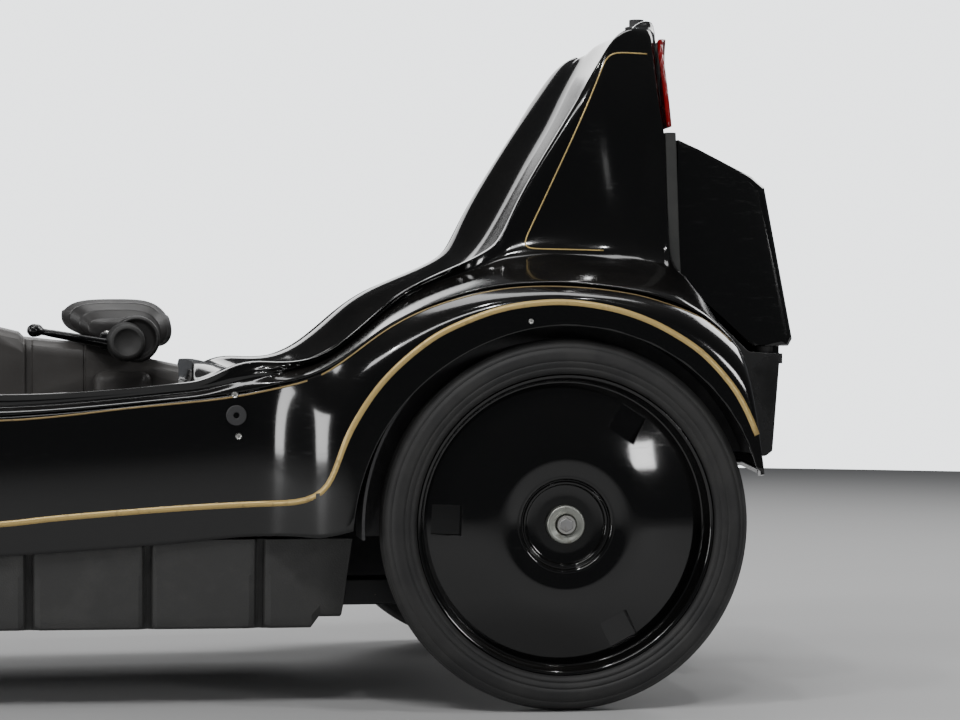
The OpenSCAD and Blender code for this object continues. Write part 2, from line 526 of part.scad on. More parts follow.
module front_tyre() color("#242527") wheel_frame(front_x, 0, front_r, -1)
    tyre_ring(front_r, front_rim_r + seat_gap, front_tyre_w);
module front_wheel() color("#0c0c0d") wheel_frame(front_x, 0, front_r, -1)
    disc_wheel(front_rim_r - 1, front_tyre_w, 6 + running, 24);
module front_axle() color("#9a9da1")
    translate([front_x, -46, front_r]) rotate([-90, 0, 0]) cylinder(h = 92, r = 6, $fn = 48);

// ---- fork: two legs, a crown over the wheel and the stem in the steering head ----
leg_y = 38;
module fork() color("#1c1d1f")
    translate([front_x, 0, front_r]) rotate([0, head_lean, 0])
        union() {
            for (s = [-1, 1]) {
                difference() {
                    translate([-12, s * leg_y - 5, -14]) cube([24, 10, 214]);
                    translate([0, s * leg_y - 6, 0]) rotate([-90, 0, 0])
                        cylinder(h = 12, r = 6.02, $fn = 48);
                }
            }
            translate([-16, -leg_y - 5, 182]) cube([32, 2 * leg_y + 10, 20]);
            translate([0, 0, 190]) cylinder(h = 85, r = 11, $fn = 48);
        }

// ---- handlebar on its column ----
bar_z = 404;
module handlebar() color("#2a2b2d")
    union() {
        translate([column_x, 0, 250]) cylinder(h = bar_z + 41.6 - 250, r = 9, $fn = 48);
        translate([column_x + 8, -bar_half + 8, bar_z - 1 + 12]) rotate([-90, 0, 0])
            cylinder(h = 2 * bar_half - 16, r = 11, $fn = 48);
    }
module handlebar_cover() color("#151517")
    difference() {
        hull() {
            translate([column_x - 60, -44, bar_z + 26]) cube([118, 88, 6]);
            translate([column_x - 32, -36, bar_z + 44]) cube([62, 72, 4]);
        }
        hull() {
            translate([column_x - 57, -41, bar_z + 25]) cube([112, 82, 4]);
            translate([column_x - 30, -34, bar_z + 40]) cube([58, 68, 2]);
        }
    }
module grip(s) color("#1a1a1b")
    translate([column_x + 8, s * 100, bar_z + 11]) rotate([s > 0 ? -90 : 90, 0, 0])
        difference() {
            union() {
                cylinder(h = 10, r = 27, $fn = 48);
                cylinder(h = bar_half - 100, r = 17, $fn = 48);
            }
            translate([0, 0, -1]) cylinder(h = bar_half - 105, r = 11 + seat_gap, $fn = 48);
        }
module grip_left() grip(-1);
module grip_right() grip(1);
module brake_lever(s) color("#8d9094")
    union() {
        translate([column_x - 96, s * 140, bar_z + 14]) sphere(r = 8, $fn = 32);
        bar_between([column_x - 96, s * 140, bar_z + 14], [column_x - 6, s * 86, bar_z + 11],
                    8, 6);
        translate([column_x + 8, s * 87 - 5, bar_z + 11]) rotate([-90, 0, 0])
            difference() {
                cylinder(h = 10, r = 19, $fn = 48);
                translate([0, 0, -1]) cylinder(h = 12, r = 11 + seat_gap, $fn = 48);
            }
    }
module brake_lever_left() brake_lever(-1);
module brake_lever_right() brake_lever(1);

// ---- cranks and pedals ----
crank_y = 76;
pedal_y = 90;
pedal_w = 74;
module crankset() color("#8d9094")
    translate([crank_x, 0, crank_z])
        union() {
            rotate([-90, 0, 0]) translate([0, 0, -crank_y - 12])
                cylinder(h = 2 * crank_y + 24, r = 9, $fn = 48);
            rotate([-90, 0, 0]) translate([0, 0, 42])
                cylinder(h = 4, r = 60, $fn = 64);
            for (s = [-1, 1]) {
                translate([min(0, s * crank_arm) - 12, s * crank_y - 5 + s * 5, -12])
                    cube([crank_arm + 24, 10, 24]);
                translate([s * crank_arm, s > 0 ? crank_y : -pedal_y - pedal_w - 3, 0])
                    rotate([-90, 0, 0]) cylinder(h = pedal_w + 3 + pedal_y - crank_y, r = 6, $fn = 32);
            }
        }
module pedal(s)
    translate([crank_x + s * crank_arm, s > 0 ? pedal_y : -pedal_y - pedal_w, crank_z])
        difference() {
            translate([-36, 0, -12]) cube([72, pedal_w, 24]);
            translate([0, -1, 0]) rotate([-90, 0, 0])
                cylinder(h = pedal_w + 2, r = 6 + running, $fn = 32);
        }
module pedal_left() color("#1d1e20") pedal(-1);
module pedal_right() color("#1d1e20") pedal(1);

lower_shell();
upper_shell();
undertray();
centre_console();
chassis_beam();
steering_head();
crank_bearing();
column_bearing();
rear_axle();
axle_bracket_left();
axle_bracket_right();
battery();
motor_gearbox();
arch_liner_left();
arch_liner_right();
boot_frame();
boot_bin();
tail_lamp();
lamp_housing();
mast_socket();
headlamp_housing();
headlamp_lens();
mirror_boss_left();
mirror_boss_right();
boot_hinges();
boot_lid();
fork();
front_axle();
front_tyre();
front_wheel();
rear_tyre_left();
rear_wheel_left();
hub_cap_left();
rear_tyre_right();
rear_wheel_right();
hub_cap_right();
handlebar();
handlebar_cover();
grip_left();
grip_right();
brake_lever_left();
brake_lever_right();
crankset();
pedal_left();
pedal_right();
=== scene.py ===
"""Looks of a low three-wheeled pedal car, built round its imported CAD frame."""

import logging
import math
from dataclasses import dataclass
from enum import Enum
from typing import Iterable, Optional, Sequence, Union

import bmesh
import bpy
from mathutils import Matrix, Vector
from mathutils.bvhtree import BVHTree


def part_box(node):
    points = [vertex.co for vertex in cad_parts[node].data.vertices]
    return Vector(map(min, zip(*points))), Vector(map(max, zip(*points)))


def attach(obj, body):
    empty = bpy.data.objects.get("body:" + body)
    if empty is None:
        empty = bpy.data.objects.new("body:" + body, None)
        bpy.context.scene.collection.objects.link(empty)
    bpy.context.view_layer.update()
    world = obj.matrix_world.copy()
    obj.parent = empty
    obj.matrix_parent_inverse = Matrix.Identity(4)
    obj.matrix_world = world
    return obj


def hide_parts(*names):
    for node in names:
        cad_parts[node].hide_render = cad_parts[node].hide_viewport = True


LOG = logging.getLogger("pedal_car")
MM = 0.001
UP = Vector((0.0, 0.0, 1.0))
Pair = tuple[float, float]
Triple = tuple[float, float, float]
Hit = tuple[Vector, Vector]
Colour = tuple[float, float, float, float]
Number = Union[float, "Signal"]


class Side(Enum):
    """A side of the car, by the sign of its Y."""

    LEFT = -1
    RIGHT = 1

    @property
    def word(self) -> str:
        """The side's name, as it stands in the names of pieces."""
        return self.name.lower()


# --- shader maths
class Signal:
    """A number socket of a node tree that takes part in Python expressions."""

    def __init__(self, paint: "Paint", socket: bpy.types.NodeSocket) -> None:
        """Wraps a socket.

        Args:
            paint: the material that the socket belongs to.
            socket: the output socket.
        """
        self.paint = paint
        self.socket = socket

    def __add__(self, other: Number) -> "Signal":
        """Sum."""
        return self.paint.math("ADD", self, other)

    def __radd__(self, other: Number) -> "Signal":
        """Reflected sum."""
        return self.paint.math("ADD", other, self)

    def __sub__(self, other: Number) -> "Signal":
        """Difference."""
        return self.paint.math("SUBTRACT", self, other)

    def __rsub__(self, other: Number) -> "Signal":
        """Reflected difference."""
        return self.paint.math("SUBTRACT", other, self)

    def __mul__(self, other: Number) -> "Signal":
        """Product."""
        return self.paint.math("MULTIPLY", self, other)

    def above(self, edge: float, soft: float) -> "Signal":
        """A mask that rises from 0 to 1 across edge.

        Args:
            edge: the middle of the rise.
            soft: half the width of the rise.

        Returns:
            The mask.
        """
        return self.paint.ramp(self, edge - soft, edge + soft)


class Paint:
    """One material and the node tree that is being made for it."""

    def __init__(self, name: str) -> None:
        """Starts a material with one Principled shader.

        Args:
            name: the material's name.
        """
        self.material = bpy.data.materials.new(name)
        self.material.use_nodes = True
        self.tree = self.material.node_tree
        self.shader = self.tree.nodes["Principled BSDF"]

    def node(self, kind: str, settings: dict[str, object], inputs: dict[Union[str, int], object]
             ) -> bpy.types.Node:
        """Adds a node.

        Args:
            kind: the node's type.
            settings: attributes that are set first.
            inputs: values or links of its sockets.

        Returns:
            The new node.
        """
        made = self.tree.nodes.new(kind)
        for key, value in settings.items():
            setattr(made, key, value)
        for key, value in inputs.items():
            self.feed(made.inputs[key], value)
        return made

    def feed(self, socket: bpy.types.NodeSocket, value: object) -> None:
        """Gives a socket a value or a link.

        Args:
            socket: the input socket.
            value: a Signal, an output socket or a plain value.
        """
        if isinstance(value, Signal):
            self.tree.links.new(value.socket, socket)
        elif isinstance(value, bpy.types.NodeSocket):
            self.tree.links.new(value, socket)
        else:
            socket.default_value = value

    def read(self, kind: str, output: Union[str, int], settings: dict[str, object],
             inputs: dict[Union[str, int], object]) -> Signal:
        """Adds a node and reads one of its outputs as a signal."""
        return Signal(self, self.node(kind, settings, inputs).outputs[output])

    def math(self, operation: str, *values: Number) -> Signal:
        """One Math node as a signal."""
        return self.read("ShaderNodeMath", 0, {"operation": operation},
                         dict(enumerate(values)))

    def ramp(self, value: Number, low: float, high: float) -> Signal:
        """A smooth rise from 0 at low to 1 at high."""
        return self.read("ShaderNodeMapRange", "Result", {"interpolation_type": "SMOOTHSTEP"},
                         {"Value": value, "From Min": low, "From Max": high})

    def place(self, scale: Sequence[float] = (1.0, 1.0, 1.0)) -> Signal:
        """Object coordinates, stretched by scale."""
        return self.read("ShaderNodeMapping", "Vector", {}, {
            "Vector": self.read("ShaderNodeTexCoord", "Object", {}, {}),
            "Scale": tuple(scale)})

    def part(self, vector: Signal, name: str) -> Signal:
        """One of the three parts of a vector."""
        return self.read("ShaderNodeSeparateXYZ", name, {}, {"Vector": vector})

    def noise(self, size: float, detail: float = 3.0, rough: float = 0.5,
              scale: Sequence[float] = (1.0, 1.0, 1.0)) -> Signal:
        """Fractal noise from 0 to 1 whose features are about size metres across."""
        return self.read("ShaderNodeTexNoise", "Fac", {},
                         {"Vector": self.place(scale), "Scale": 1.0 / size,
                          "Detail": detail, "Roughness": rough})

    def cells(self, size: float) -> Signal:
        """Distance to the nearest cell centre, for pebbled grain."""
        return self.read("ShaderNodeTexVoronoi", "Distance", {},
                         {"Vector": self.place(), "Scale": 1.0 / size})

    def facing_up(self) -> Signal:
        """The upward part of the surface normal, from 0 to 1."""
        normal = self.read("ShaderNodeNewGeometry", "Normal", {}, {})
        return self.ramp(self.part(normal, "Z"), 0.0, 1.0)

    def mix(self, mask: Number, low: Colour, high: Colour) -> bpy.types.NodeSocket:
        """A colour between two, by mask."""
        return self.node("ShaderNodeMix", {"data_type": "RGBA"},
                         {0: mask, 6: low, 7: high}).outputs[2]

    def relief(self, height: Signal, depth: float, below: object = None) -> bpy.types.NodeSocket:
        """A bump from a height signal, depth metres deep."""
        inputs: dict[Union[str, int], object] = {"Height": height, "Distance": depth,
                                                 "Strength": 1.0}
        if below is not None:
            inputs["Normal"] = below
        return self.node("ShaderNodeBump", {}, inputs).outputs["Normal"]

    def set(self, **sockets: object) -> None:
        """Feeds the shader's sockets, named with underscores for spaces."""
        for key, value in sockets.items():
            self.feed(self.shader.inputs[key.replace("_", " ")], value)


def grey(level: float, warm: float = 0.0) -> Colour:
    """A neutral or slightly warm grey."""
    return (level * (1 + warm), level, level * (1 - warm), 1.0)


# --- finishes
@dataclass(frozen=True)
class Finish:
    """A finish that knows how to make its material."""

    name: str

    def make(self) -> bpy.types.Material:
        """Makes the material once and returns it afterwards."""
        found = bpy.data.materials.get(self.name)
        return found or self._paint(Paint(self.name)).material

    def _paint(self, paint: Paint) -> Paint:
        """Fills the node tree."""
        raise NotImplementedError


@dataclass(frozen=True)
class GlossShell(Finish):
    """Deep gloss black moulded plastic with faint orange peel, scuffs and dust."""

    level: float = 0.0022
    rough: float = 0.085
    dust: float = 0.22
    peel: float = 0.000012

    def _paint(self, paint: Paint) -> Paint:
        """Black base, dust on what faces up, scuffs in the gloss."""
        cloud = paint.noise(0.18, 4, 0.6)
        fine = paint.noise(0.006, 3, 0.6)
        scuff = paint.noise(0.02, 4, 0.7, (1.0, 1.0, 6.0)).above(0.62, 0.06)
        dust = paint.facing_up() * cloud.above(0.5, 0.25) * self.dust
        settled = dust * (0.5 + fine * 0.9)
        paint.set(Base_Color=paint.mix(settled * 0.5, grey(self.level), grey(0.09, 0.12)),
                  Roughness=self.rough + settled * 0.30 + scuff * 0.06 + cloud * 0.03,
                  Normal=paint.relief(paint.noise(0.012, 2, 0.5), self.peel),
                  Coat_Weight=0.25 - settled * 0.25)
        paint.shader.inputs["Coat Roughness"].default_value = 0.04
        return paint


@dataclass(frozen=True)
class Moulded(Finish):
    """Moulded plastic with a pebbled grain."""

    colour: Colour = (0.03, 0.03, 0.032, 1.0)
    worn: Colour = (0.09, 0.088, 0.085, 1.0)
    rough: float = 0.5
    grain: float = 0.0012
    depth: float = 0.00012
    shine: float = 0.5

    def _paint(self, paint: Paint) -> Paint:
        """Grained base, paler where it is rubbed and dusty."""
        rubbed = paint.noise(0.05, 5, 0.65).above(0.58, 0.12)
        cloud = paint.noise(0.22, 3, 0.5)
        pebble = paint.cells(self.grain)
        dust = paint.facing_up() * cloud.above(0.45, 0.3)
        mask = rubbed * 0.35 + dust * 0.35 + pebble * 0.12
        paint.set(Base_Color=paint.mix(mask, self.colour, self.worn),
                  Roughness=self.rough + cloud * 0.15 - rubbed * 0.08,
                  Normal=paint.relief(pebble, self.depth,
                                      paint.relief(paint.noise(0.03, 3), 0.0002)))
        paint.shader.inputs["Specular IOR Level"].default_value = self.shine
        return paint


@dataclass(frozen=True)
class Painted(Finish):
    """Satin paint on steel, chipped along its length."""

    colour: Colour = (0.012, 0.012, 0.013, 1.0)
    rough: float = 0.35

    def _paint(self, paint: Paint) -> Paint:
        """Paint with small chips down to dull steel."""
        chip = paint.noise(0.008, 5, 0.7).above(0.70, 0.02)
        film = paint.noise(0.04, 3)
        paint.set(Base_Color=paint.mix(chip, self.colour, (0.16, 0.14, 0.12, 1.0)),
                  Metallic=chip * 0.6,
                  Roughness=self.rough + film * 0.12 + chip * 0.2,
                  Normal=paint.relief(1.0 - chip, 0.0001,
                                      paint.relief(paint.noise(0.004, 2), 0.00003)))
        return paint


@dataclass(frozen=True)
class Plated(Finish):
    """Plated or bare steel with turning marks and light tarnish."""

    colour: Colour = (0.52, 0.52, 0.50, 1.0)
    tarnish: Colour = (0.20, 0.17, 0.14, 1.0)
    rough: float = 0.28

    def _paint(self, paint: Paint) -> Paint:
        """Brushed metal with tarnish patches."""
        brush = paint.noise(0.003, 2, 0.5, (1.0, 20.0, 1.0))
        stain = paint.noise(0.02, 5, 0.7).above(0.60, 0.08)
        paint.set(Base_Color=paint.mix(stain * 0.7 + brush * 0.1, self.colour, self.tarnish),
                  Metallic=1.0 - stain * 0.35,
                  Roughness=self.rough + brush * 0.15 + stain * 0.3,
                  Normal=paint.relief(brush, 0.00003))
        return paint


@dataclass(frozen=True)
class Rubber(Finish):
    """Tyre or grip rubber, greyed by dust."""

    colour: Colour = (0.010, 0.010, 0.0105, 1.0)
    dusty: Colour = (0.038, 0.037, 0.035, 1.0)
    rough: float = 0.5

    def _paint(self, paint: Paint) -> Paint:
        """Dark rubber with bloom and fine cracks."""
        bloom = paint.noise(0.06, 4, 0.6)
        crack = paint.noise(0.003, 3, 0.7).above(0.66, 0.04)
        mask = bloom.above(0.5, 0.22) * 0.55 + crack * 0.15
        paint.set(Base_Color=paint.mix(mask, self.colour, self.dusty),
                  Roughness=self.rough + bloom * 0.2,
                  Normal=paint.relief(1.0 - crack, 0.0001,
                                      paint.relief(paint.noise(0.0015, 2), 0.00008)))
        return paint


@dataclass(frozen=True)
class Lens(Finish):
    """Moulded lamp plastic with a prism pattern under a gloss face."""

    colour: Colour = (0.30, 0.006, 0.008, 1.0)
    pitch: float = 0.006
    clear: float = 0.25

    def _paint(self, paint: Paint) -> Paint:
        """Coloured lens with vertical flutes and grime at random."""
        flute = paint.math("SINE", paint.part(paint.place(), "Y") * (2 * math.pi / self.pitch))
        grime = paint.noise(0.03, 4, 0.6).above(0.55, 0.2)
        dull = tuple(c * 0.5 for c in self.colour[:3]) + (1.0,)
        paint.set(Base_Color=paint.mix(grime * 0.6, self.colour, dull),
                  Roughness=0.12 + grime * 0.2,
                  Normal=paint.relief(flute, 0.00015))
        paint.shader.inputs["Transmission Weight"].default_value = self.clear
        paint.shader.inputs["IOR"].default_value = 1.49
        return paint


@dataclass(frozen=True)
class Tape(Finish):
    """Thin gold tape, dulled and nicked."""

    colour: Colour = (0.60, 0.43, 0.16, 1.0)
    worn: Colour = (0.36, 0.25, 0.10, 1.0)

    def _paint(self, paint: Paint) -> Paint:
        """Gold film with small rubbed spots."""
        rub = paint.noise(0.012, 5, 0.7).above(0.60, 0.06)
        paint.set(Base_Color=paint.mix(rub * 0.7, self.colour, self.worn),
                  Metallic=0.25 - rub * 0.2,
                  Roughness=0.32 + rub * 0.2,
                  Normal=paint.relief(paint.noise(0.003, 2), 0.00003))
        return paint


@dataclass(frozen=True)
class Paper(Finish):
    """The plain pale floor."""

    def _paint(self, paint: Paint) -> Paint:
        """Even, barely mottled pale grey."""
        mottle = paint.noise(0.4, 3)
        paint.set(Base_Color=paint.mix(mottle * 0.4, grey(0.50), grey(0.44)),
                  Roughness=0.62 + mottle * 0.12)
        return paint


GLOSS = GlossShell("gloss_black_shell")
WHEEL_GLOSS = GlossShell("gloss_black_wheel", rough=0.07, dust=0.15)
DARK = Moulded("grained_dark_plastic")
CONSOLE = Moulded("console_satin_plastic", colour=(0.060, 0.056, 0.053, 1.0),
                  worn=(0.092, 0.088, 0.084, 1.0), rough=0.40, grain=0.0009, depth=0.00006)
FLANGE = Moulded("flange_satin_plastic", colour=(0.045, 0.046, 0.045, 1.0),
                 worn=(0.065, 0.065, 0.062, 1.0), rough=0.70, shine=0.10)
PAN = Moulded("pan_plastic", colour=(0.040, 0.040, 0.039, 1.0),
              worn=(0.066, 0.065, 0.062, 1.0), rough=0.58, grain=0.0018, depth=0.00022)
SHROUD = Moulded("shroud_plastic", colour=(0.020, 0.019, 0.019, 1.0),
                 worn=(0.040, 0.038, 0.036, 1.0), rough=0.34, grain=0.0008, depth=0.00005)
BIN = Moulded("bin_plastic", colour=(0.003, 0.003, 0.0032, 1.0),
              worn=(0.008, 0.008, 0.0075, 1.0), rough=0.22, grain=0.0010, depth=0.00003)
# Waist seam line: the seam is real, but its pale gold tone is a painted highlight along it.
SEAM_HIGHLIGHT = Tape("seam_line_painted_highlight", colour=(0.30, 0.21, 0.085, 1.0), worn=(0.13, 0.09, 0.045, 1.0))
LID_GLOSS = GlossShell("gloss_black_lid", rough=0.09, dust=0.3)
BATTERY = Moulded("battery_shell_plastic", colour=(0.04, 0.04, 0.045, 1.0), grain=0.003)
FRAME_PAINT = Painted("satin_black_paint")
LEVER = Painted("lever_enamel", colour=(0.006, 0.006, 0.0065, 1.0), rough=0.16)
STEEL = Plated("plain_steel")
WASHER = Plated("worn_washer", colour=(0.36, 0.37, 0.34, 1.0),
                tarnish=(0.16, 0.15, 0.12, 1.0), rough=0.36)
ALLOY = Plated("cast_alloy", colour=(0.34, 0.34, 0.34, 1.0), rough=0.42)
TYRE = Rubber("tyre_rubber")
GRIP = Rubber("soft_grip_rubber", colour=(0.012, 0.012, 0.012, 1.0), rough=0.5)
RED_LENS = Lens("red_prism_lens")
CLEAR_LENS = Lens("clear_prism_lens", colour=(0.75, 0.78, 0.80, 1.0), pitch=0.008, clear=0.6)
GOLD = Tape("gold_tape")
FLOOR = Paper("floor_paper")


# --- mesh helpers
class Shape:
    """A bmesh on its way to becoming one finished piece."""

    def __init__(self, name: str) -> None:
        """Starts an empty shape.

        Args:
            name: the finished piece's name.
        """
        self.name = name
        self.bm = bmesh.new()

    @classmethod
    def copy_of(cls, name: str, node: str, quads: bool = True) -> "Shape":
        """A merged copy of a CAD node's mesh.

        Args:
            name: the finished piece's name.
            node: the CAD node.
            quads: joins triangle pairs into quads.

        Returns:
            The shape.
        """
        shape = cls(name)
        shape.bm.from_mesh(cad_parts[node].data)
        bmesh.ops.remove_doubles(shape.bm, verts=shape.bm.verts, dist=1e-6)
        if quads:
            bmesh.ops.join_triangles(shape.bm, faces=shape.bm.faces, cmp_seam=False,
                                     cmp_sharp=False, cmp_uvs=False, cmp_vcols=False,
                                     cmp_materials=False, angle_face_threshold=math.pi,
                                     angle_shape_threshold=math.pi)
        return shape

    def move(self, matrix: Matrix) -> None:
        """Carries the whole shape through a matrix."""
        bmesh.ops.transform(self.bm, matrix=matrix, verts=self.bm.verts)

    def sink_top(self, margin: float, rise: float) -> None:
        """Insets the highest face and moves it up or down.

        Args:
            margin: the inset in millimetres.
            rise: how far it moves up, in millimetres.
        """
        top = max(self.bm.faces, key=lambda f: f.calc_center_median().z)
        bmesh.ops.inset_individual(self.bm, faces=[top], thickness=margin * MM)
        bmesh.ops.translate(self.bm, verts=top.verts, vec=(0, 0, rise * MM))

    def done(self, body: str, finish: Finish, slot: str, smooth: bool = True
             ) -> bpy.types.Object:
        """Turns the bmesh into an object that rides on a body.

        Args:
            body: the CAD body that the piece moves with.
            finish: its finish.
            slot: the record's material slot; not used.
            smooth: shades it smooth.

        Returns:
            The new object.
        """
        for face in self.bm.faces:
            face.smooth = smooth
        obj = link(self)
        obj.data.materials.append(finish.make())
        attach(obj, body)
        LOG.info("%s: %d faces on %s", self.name, len(obj.data.polygons), body)
        return obj


def link(shape: Shape) -> bpy.types.Object:
    """Turns a shape's bmesh into an object of the scene.

    Args:
        shape: the shape, which is used up.

    Returns:
        The new object, at the origin.
    """
    mesh = bpy.data.meshes.new(shape.name)
    shape.bm.to_mesh(mesh)
    shape.bm.free()
    obj = bpy.data.objects.new(shape.name, mesh)
    bpy.context.scene.collection.objects.link(obj)
    return obj


def stand(place: Vector, direction: Vector) -> Matrix:
    """Carries the origin to a place and turns Z towards a direction."""
    return Matrix.Translation(place) @ UP.rotation_difference(direction).to_matrix().to_4x4()


def add_box(bm: bmesh.types.BMesh, size: Sequence[float], place: Sequence[float]
            ) -> list[bmesh.types.BMVert]:
    """Adds one block to a mesh.

    Args:
        bm: the mesh.
        size: its length, width and height in metres.
        place: its middle.

    Returns:
        Its corners.
    """
    verts = bmesh.ops.create_cube(bm, size=1.0)["verts"]
    bmesh.ops.scale(bm, verts=verts, vec=Vector(size))
    bmesh.ops.translate(bm, verts=verts, vec=Vector(place))
    return verts


def thicken(obj: bpy.types.Object, thickness: float, offset: float) -> None:
    """Adds a Solidify modifier.

    Args:
        obj: the piece.
        thickness: its wall in millimetres.
        offset: 1 grows it outwards, -1 inwards.
    """
    wall = obj.modifiers.new("thickness", "SOLIDIFY")
    wall.thickness = thickness * MM
    wall.offset = offset


def subdivide(obj: bpy.types.Object, levels: int) -> None:
    """Adds a Subdivision Surface modifier.

    Args:
        obj: the piece.
        levels: its levels, the same in view and render.
    """
    modifier = obj.modifiers.new("smooth", "SUBSURF")
    modifier.levels = levels
    modifier.render_levels = levels


def crease(bm: bmesh.types.BMesh, angle: float, value: float = 1.0) -> None:
    """Creases the edges that are sharper than angle degrees.

    Args:
        bm: the mesh.
        angle: the least angle between two faces.
        value: the crease.
    """
    layer = bm.edges.layers.float.get("crease_edge") or bm.edges.layers.float.new("crease_edge")
    for edge in bm.edges:
        if len(edge.link_faces) == 2 and edge.calc_face_angle() > math.radians(angle):
            edge[layer] = value


# --- placing on the body
def axle() -> Vector:
    """The middle of the rear axle."""
    low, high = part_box("rear_axle")
    return (low + high) / 2


def along(points: Sequence[Pair], step: float) -> list[Pair]:
    """A smooth run through control points.

    Args:
        points: the control points, in millimetres.
        step: the spacing of the run, in millimetres.

    Returns:
        Points of the run.
    """
    knots = [Vector(p) for p in points]
    run: list[Pair] = []
    for k in range(len(knots) - 1):
        a, b = knots[k], knots[k + 1]
        before = knots[max(k - 1, 0)]
        after = knots[min(k + 2, len(knots) - 1)]
        span = (b - a).length
        lead = (b - before).normalized() * span
        trail = (after - a).normalized() * span
        count = max(1, round(span / step))
        for n in range(count):
            t = n / count
            place = (a * (2 * t ** 3 - 3 * t ** 2 + 1) + lead * (t ** 3 - 2 * t ** 2 + t)
                     + b * (3 * t ** 2 - 2 * t ** 3) + trail * (t ** 3 - t ** 2))
            run.append(tuple(place))
    run.append(tuple(knots[-1]))
    return run


class Skin:
    """A finished shell that tape and screws are laid on."""

    def __init__(self, obj: bpy.types.Object) -> None:
        """Keeps the shell's outer surface.

        Args:
            obj: the shell with its modifiers.
        """
        self.tree = BVHTree.FromObject(obj, bpy.context.evaluated_depsgraph_get())
        self.centre = axle()

    def side_hit(self, station: float, height: float, side: Side) -> Optional[Hit]:
        """The shell's flank at a station.

        Args:
            station: millimetres behind the rear axle.
            height: millimetres above the floor.
            side: the flank.

        Returns:
            The place and the normal, or None off the shell.
        """
        start = Vector((self.centre.x + station * MM, side.value, height * MM))
        return self._cast(start, Vector((0.0, -side.value, 0.0)))

    def nose_hit(self, pivot: float, angle: float, height: float, side: Side
                 ) -> Optional[Hit]:
        """The shell's nose, seen from a pivot on the middle line.

        Args:
            pivot: the pivot's station.
            angle: 90 looks sideways, 0 looks ahead.
            height: millimetres above the floor.
            side: the flank.

        Returns:
            The place and the normal, or None off the shell.
        """
        turn = math.radians(angle)
        out = Vector((-math.cos(turn), side.value * math.sin(turn), 0.0))
        start = Vector((self.centre.x + pivot * MM, 0.0, height * MM)) + out
        return self._cast(start, -out)

    def _cast(self, start: Vector, aim: Vector) -> Optional[Hit]:
        """The first hit of a ray, with the normal turned towards its start."""
        place, normal, _, _ = self.tree.ray_cast(start, aim)
        if place is None:
            return None
        return place, (normal if normal.dot(aim) < 0 else -normal)


@dataclass
class Line:
    """A thin tape that follows a run of places on a shell."""

    name: str
    width: float
    lift: float = 0.25
    thickness: float = 0.35
    finish: Finish = GOLD
    slot: str = "gloss_black"

    def lay(self, run: Iterable[Optional[Hit]], body: str = "body"
            ) -> Optional[bpy.types.Object]:
        """Lays the tape.

        Args:
            run: places with their normals, in order.
            body: the body that the tape rides on.

        Returns:
            The tape, or None where nothing was hit.
        """
        hits = self._smooth([hit for hit in run if hit is not None], 3)
        if len(hits) < 3:
            LOG.warning("%s: no place to lie on", self.name)
            return None
        shape = Shape(self.name)
        edge = None
        for k, (place, normal) in enumerate(hits):
            ahead = (hits[min(k + 1, len(hits) - 1)][0] - hits[max(k - 1, 0)][0]).normalized()
            across = normal.cross(ahead).normalized() * self.width * MM / 2
            middle = place + normal * self.lift * MM
            if edge is None:
                edge = shape.bm.edges.new([shape.bm.verts.new(middle - across),
                                           shape.bm.verts.new(middle + across)])
                continue
            made = bmesh.ops.extrude_edge_only(shape.bm, edges=[edge])["geom"]
            edge = next(g for g in made if isinstance(g, bmesh.types.BMEdge))
            verts = sorted(edge.verts, key=lambda v: (v.co - middle + across).length)
            verts[0].co, verts[1].co = middle - across, middle + across
        self._face_outwards(shape.bm, hits[0][1])
        obj = shape.done(body, self.finish, self.slot)
        thicken(obj, self.thickness, 1.0)
        return obj

    @staticmethod
    def _smooth(hits: list[Hit], rounds: int
                ) -> list[Hit]:
        """Evens out the normals and the small jumps of a run.

        Args:
            hits: places with their normals.
            rounds: how often each is averaged with its neighbours.

        Returns:
            The evened run.
        """
        for _ in range(rounds):
            hits = [hits[0]] + [
                (b[0] * 0.5 + (a[0] + c[0]) * 0.25, (a[1] + b[1] * 2 + c[1]).normalized())
                for a, b, c in zip(hits, hits[1:], hits[2:])] + hits[-1:]
        return hits

    @staticmethod
    def _face_outwards(bm: bmesh.types.BMesh, normal: Vector) -> None:
        """Turns every face of the tape outwards."""
        bm.normal_update()
        bm.faces.ensure_lookup_table()
        if bm.faces[0].normal.dot(normal) < 0:
            bmesh.ops.reverse_faces(bm, faces=bm.faces)


@dataclass
class Screw:
    """A domed screw with a socket in its head."""

    name: str
    radius: float = 4.0
    height: float = 2.2
    finish: Finish = STEEL
    slot: str = "bare_steel"

    def drive(self, hit: Optional[Hit], body: str = "body") -> None:
        """Seats the screw's head on a surface.

        Args:
            hit: the place and its normal.
            body: the body that it rides on.
        """
        if hit is None:
            LOG.warning("%s: no place to sit", self.name)
            return
        shape = Shape(self.name)
        bmesh.ops.create_cone(shape.bm, cap_ends=True, segments=24, radius1=self.radius * MM,
                              radius2=self.radius * 0.72 * MM, depth=self.height * MM)
        shape.sink_top(self.radius * 0.30, -self.height * 0.45)
        shape.move(stand(hit[0] + hit[1] * self.height * 0.35 * MM, hit[1]))
        obj = shape.done(body, self.finish, self.slot)
        soften(obj, 0.4, 2)


def soften(obj: bpy.types.Object, width: float, segments: int, angle: float = 35.0) -> None:
    """Adds a Bevel modifier to the sharp edges.

    Args:
        obj: the piece.
        width: the bevel's width in millimetres.
        segments: its segments.
        angle: the least angle that is bevelled.
    """
    bevel = obj.modifiers.new("edges", "BEVEL")
    bevel.width = width * MM
    bevel.segments = segments
    bevel.limit_method = "ANGLE"
    bevel.angle_limit = math.radians(angle)
    obj.modifiers.new("shading", "WEIGHTED_NORMAL")


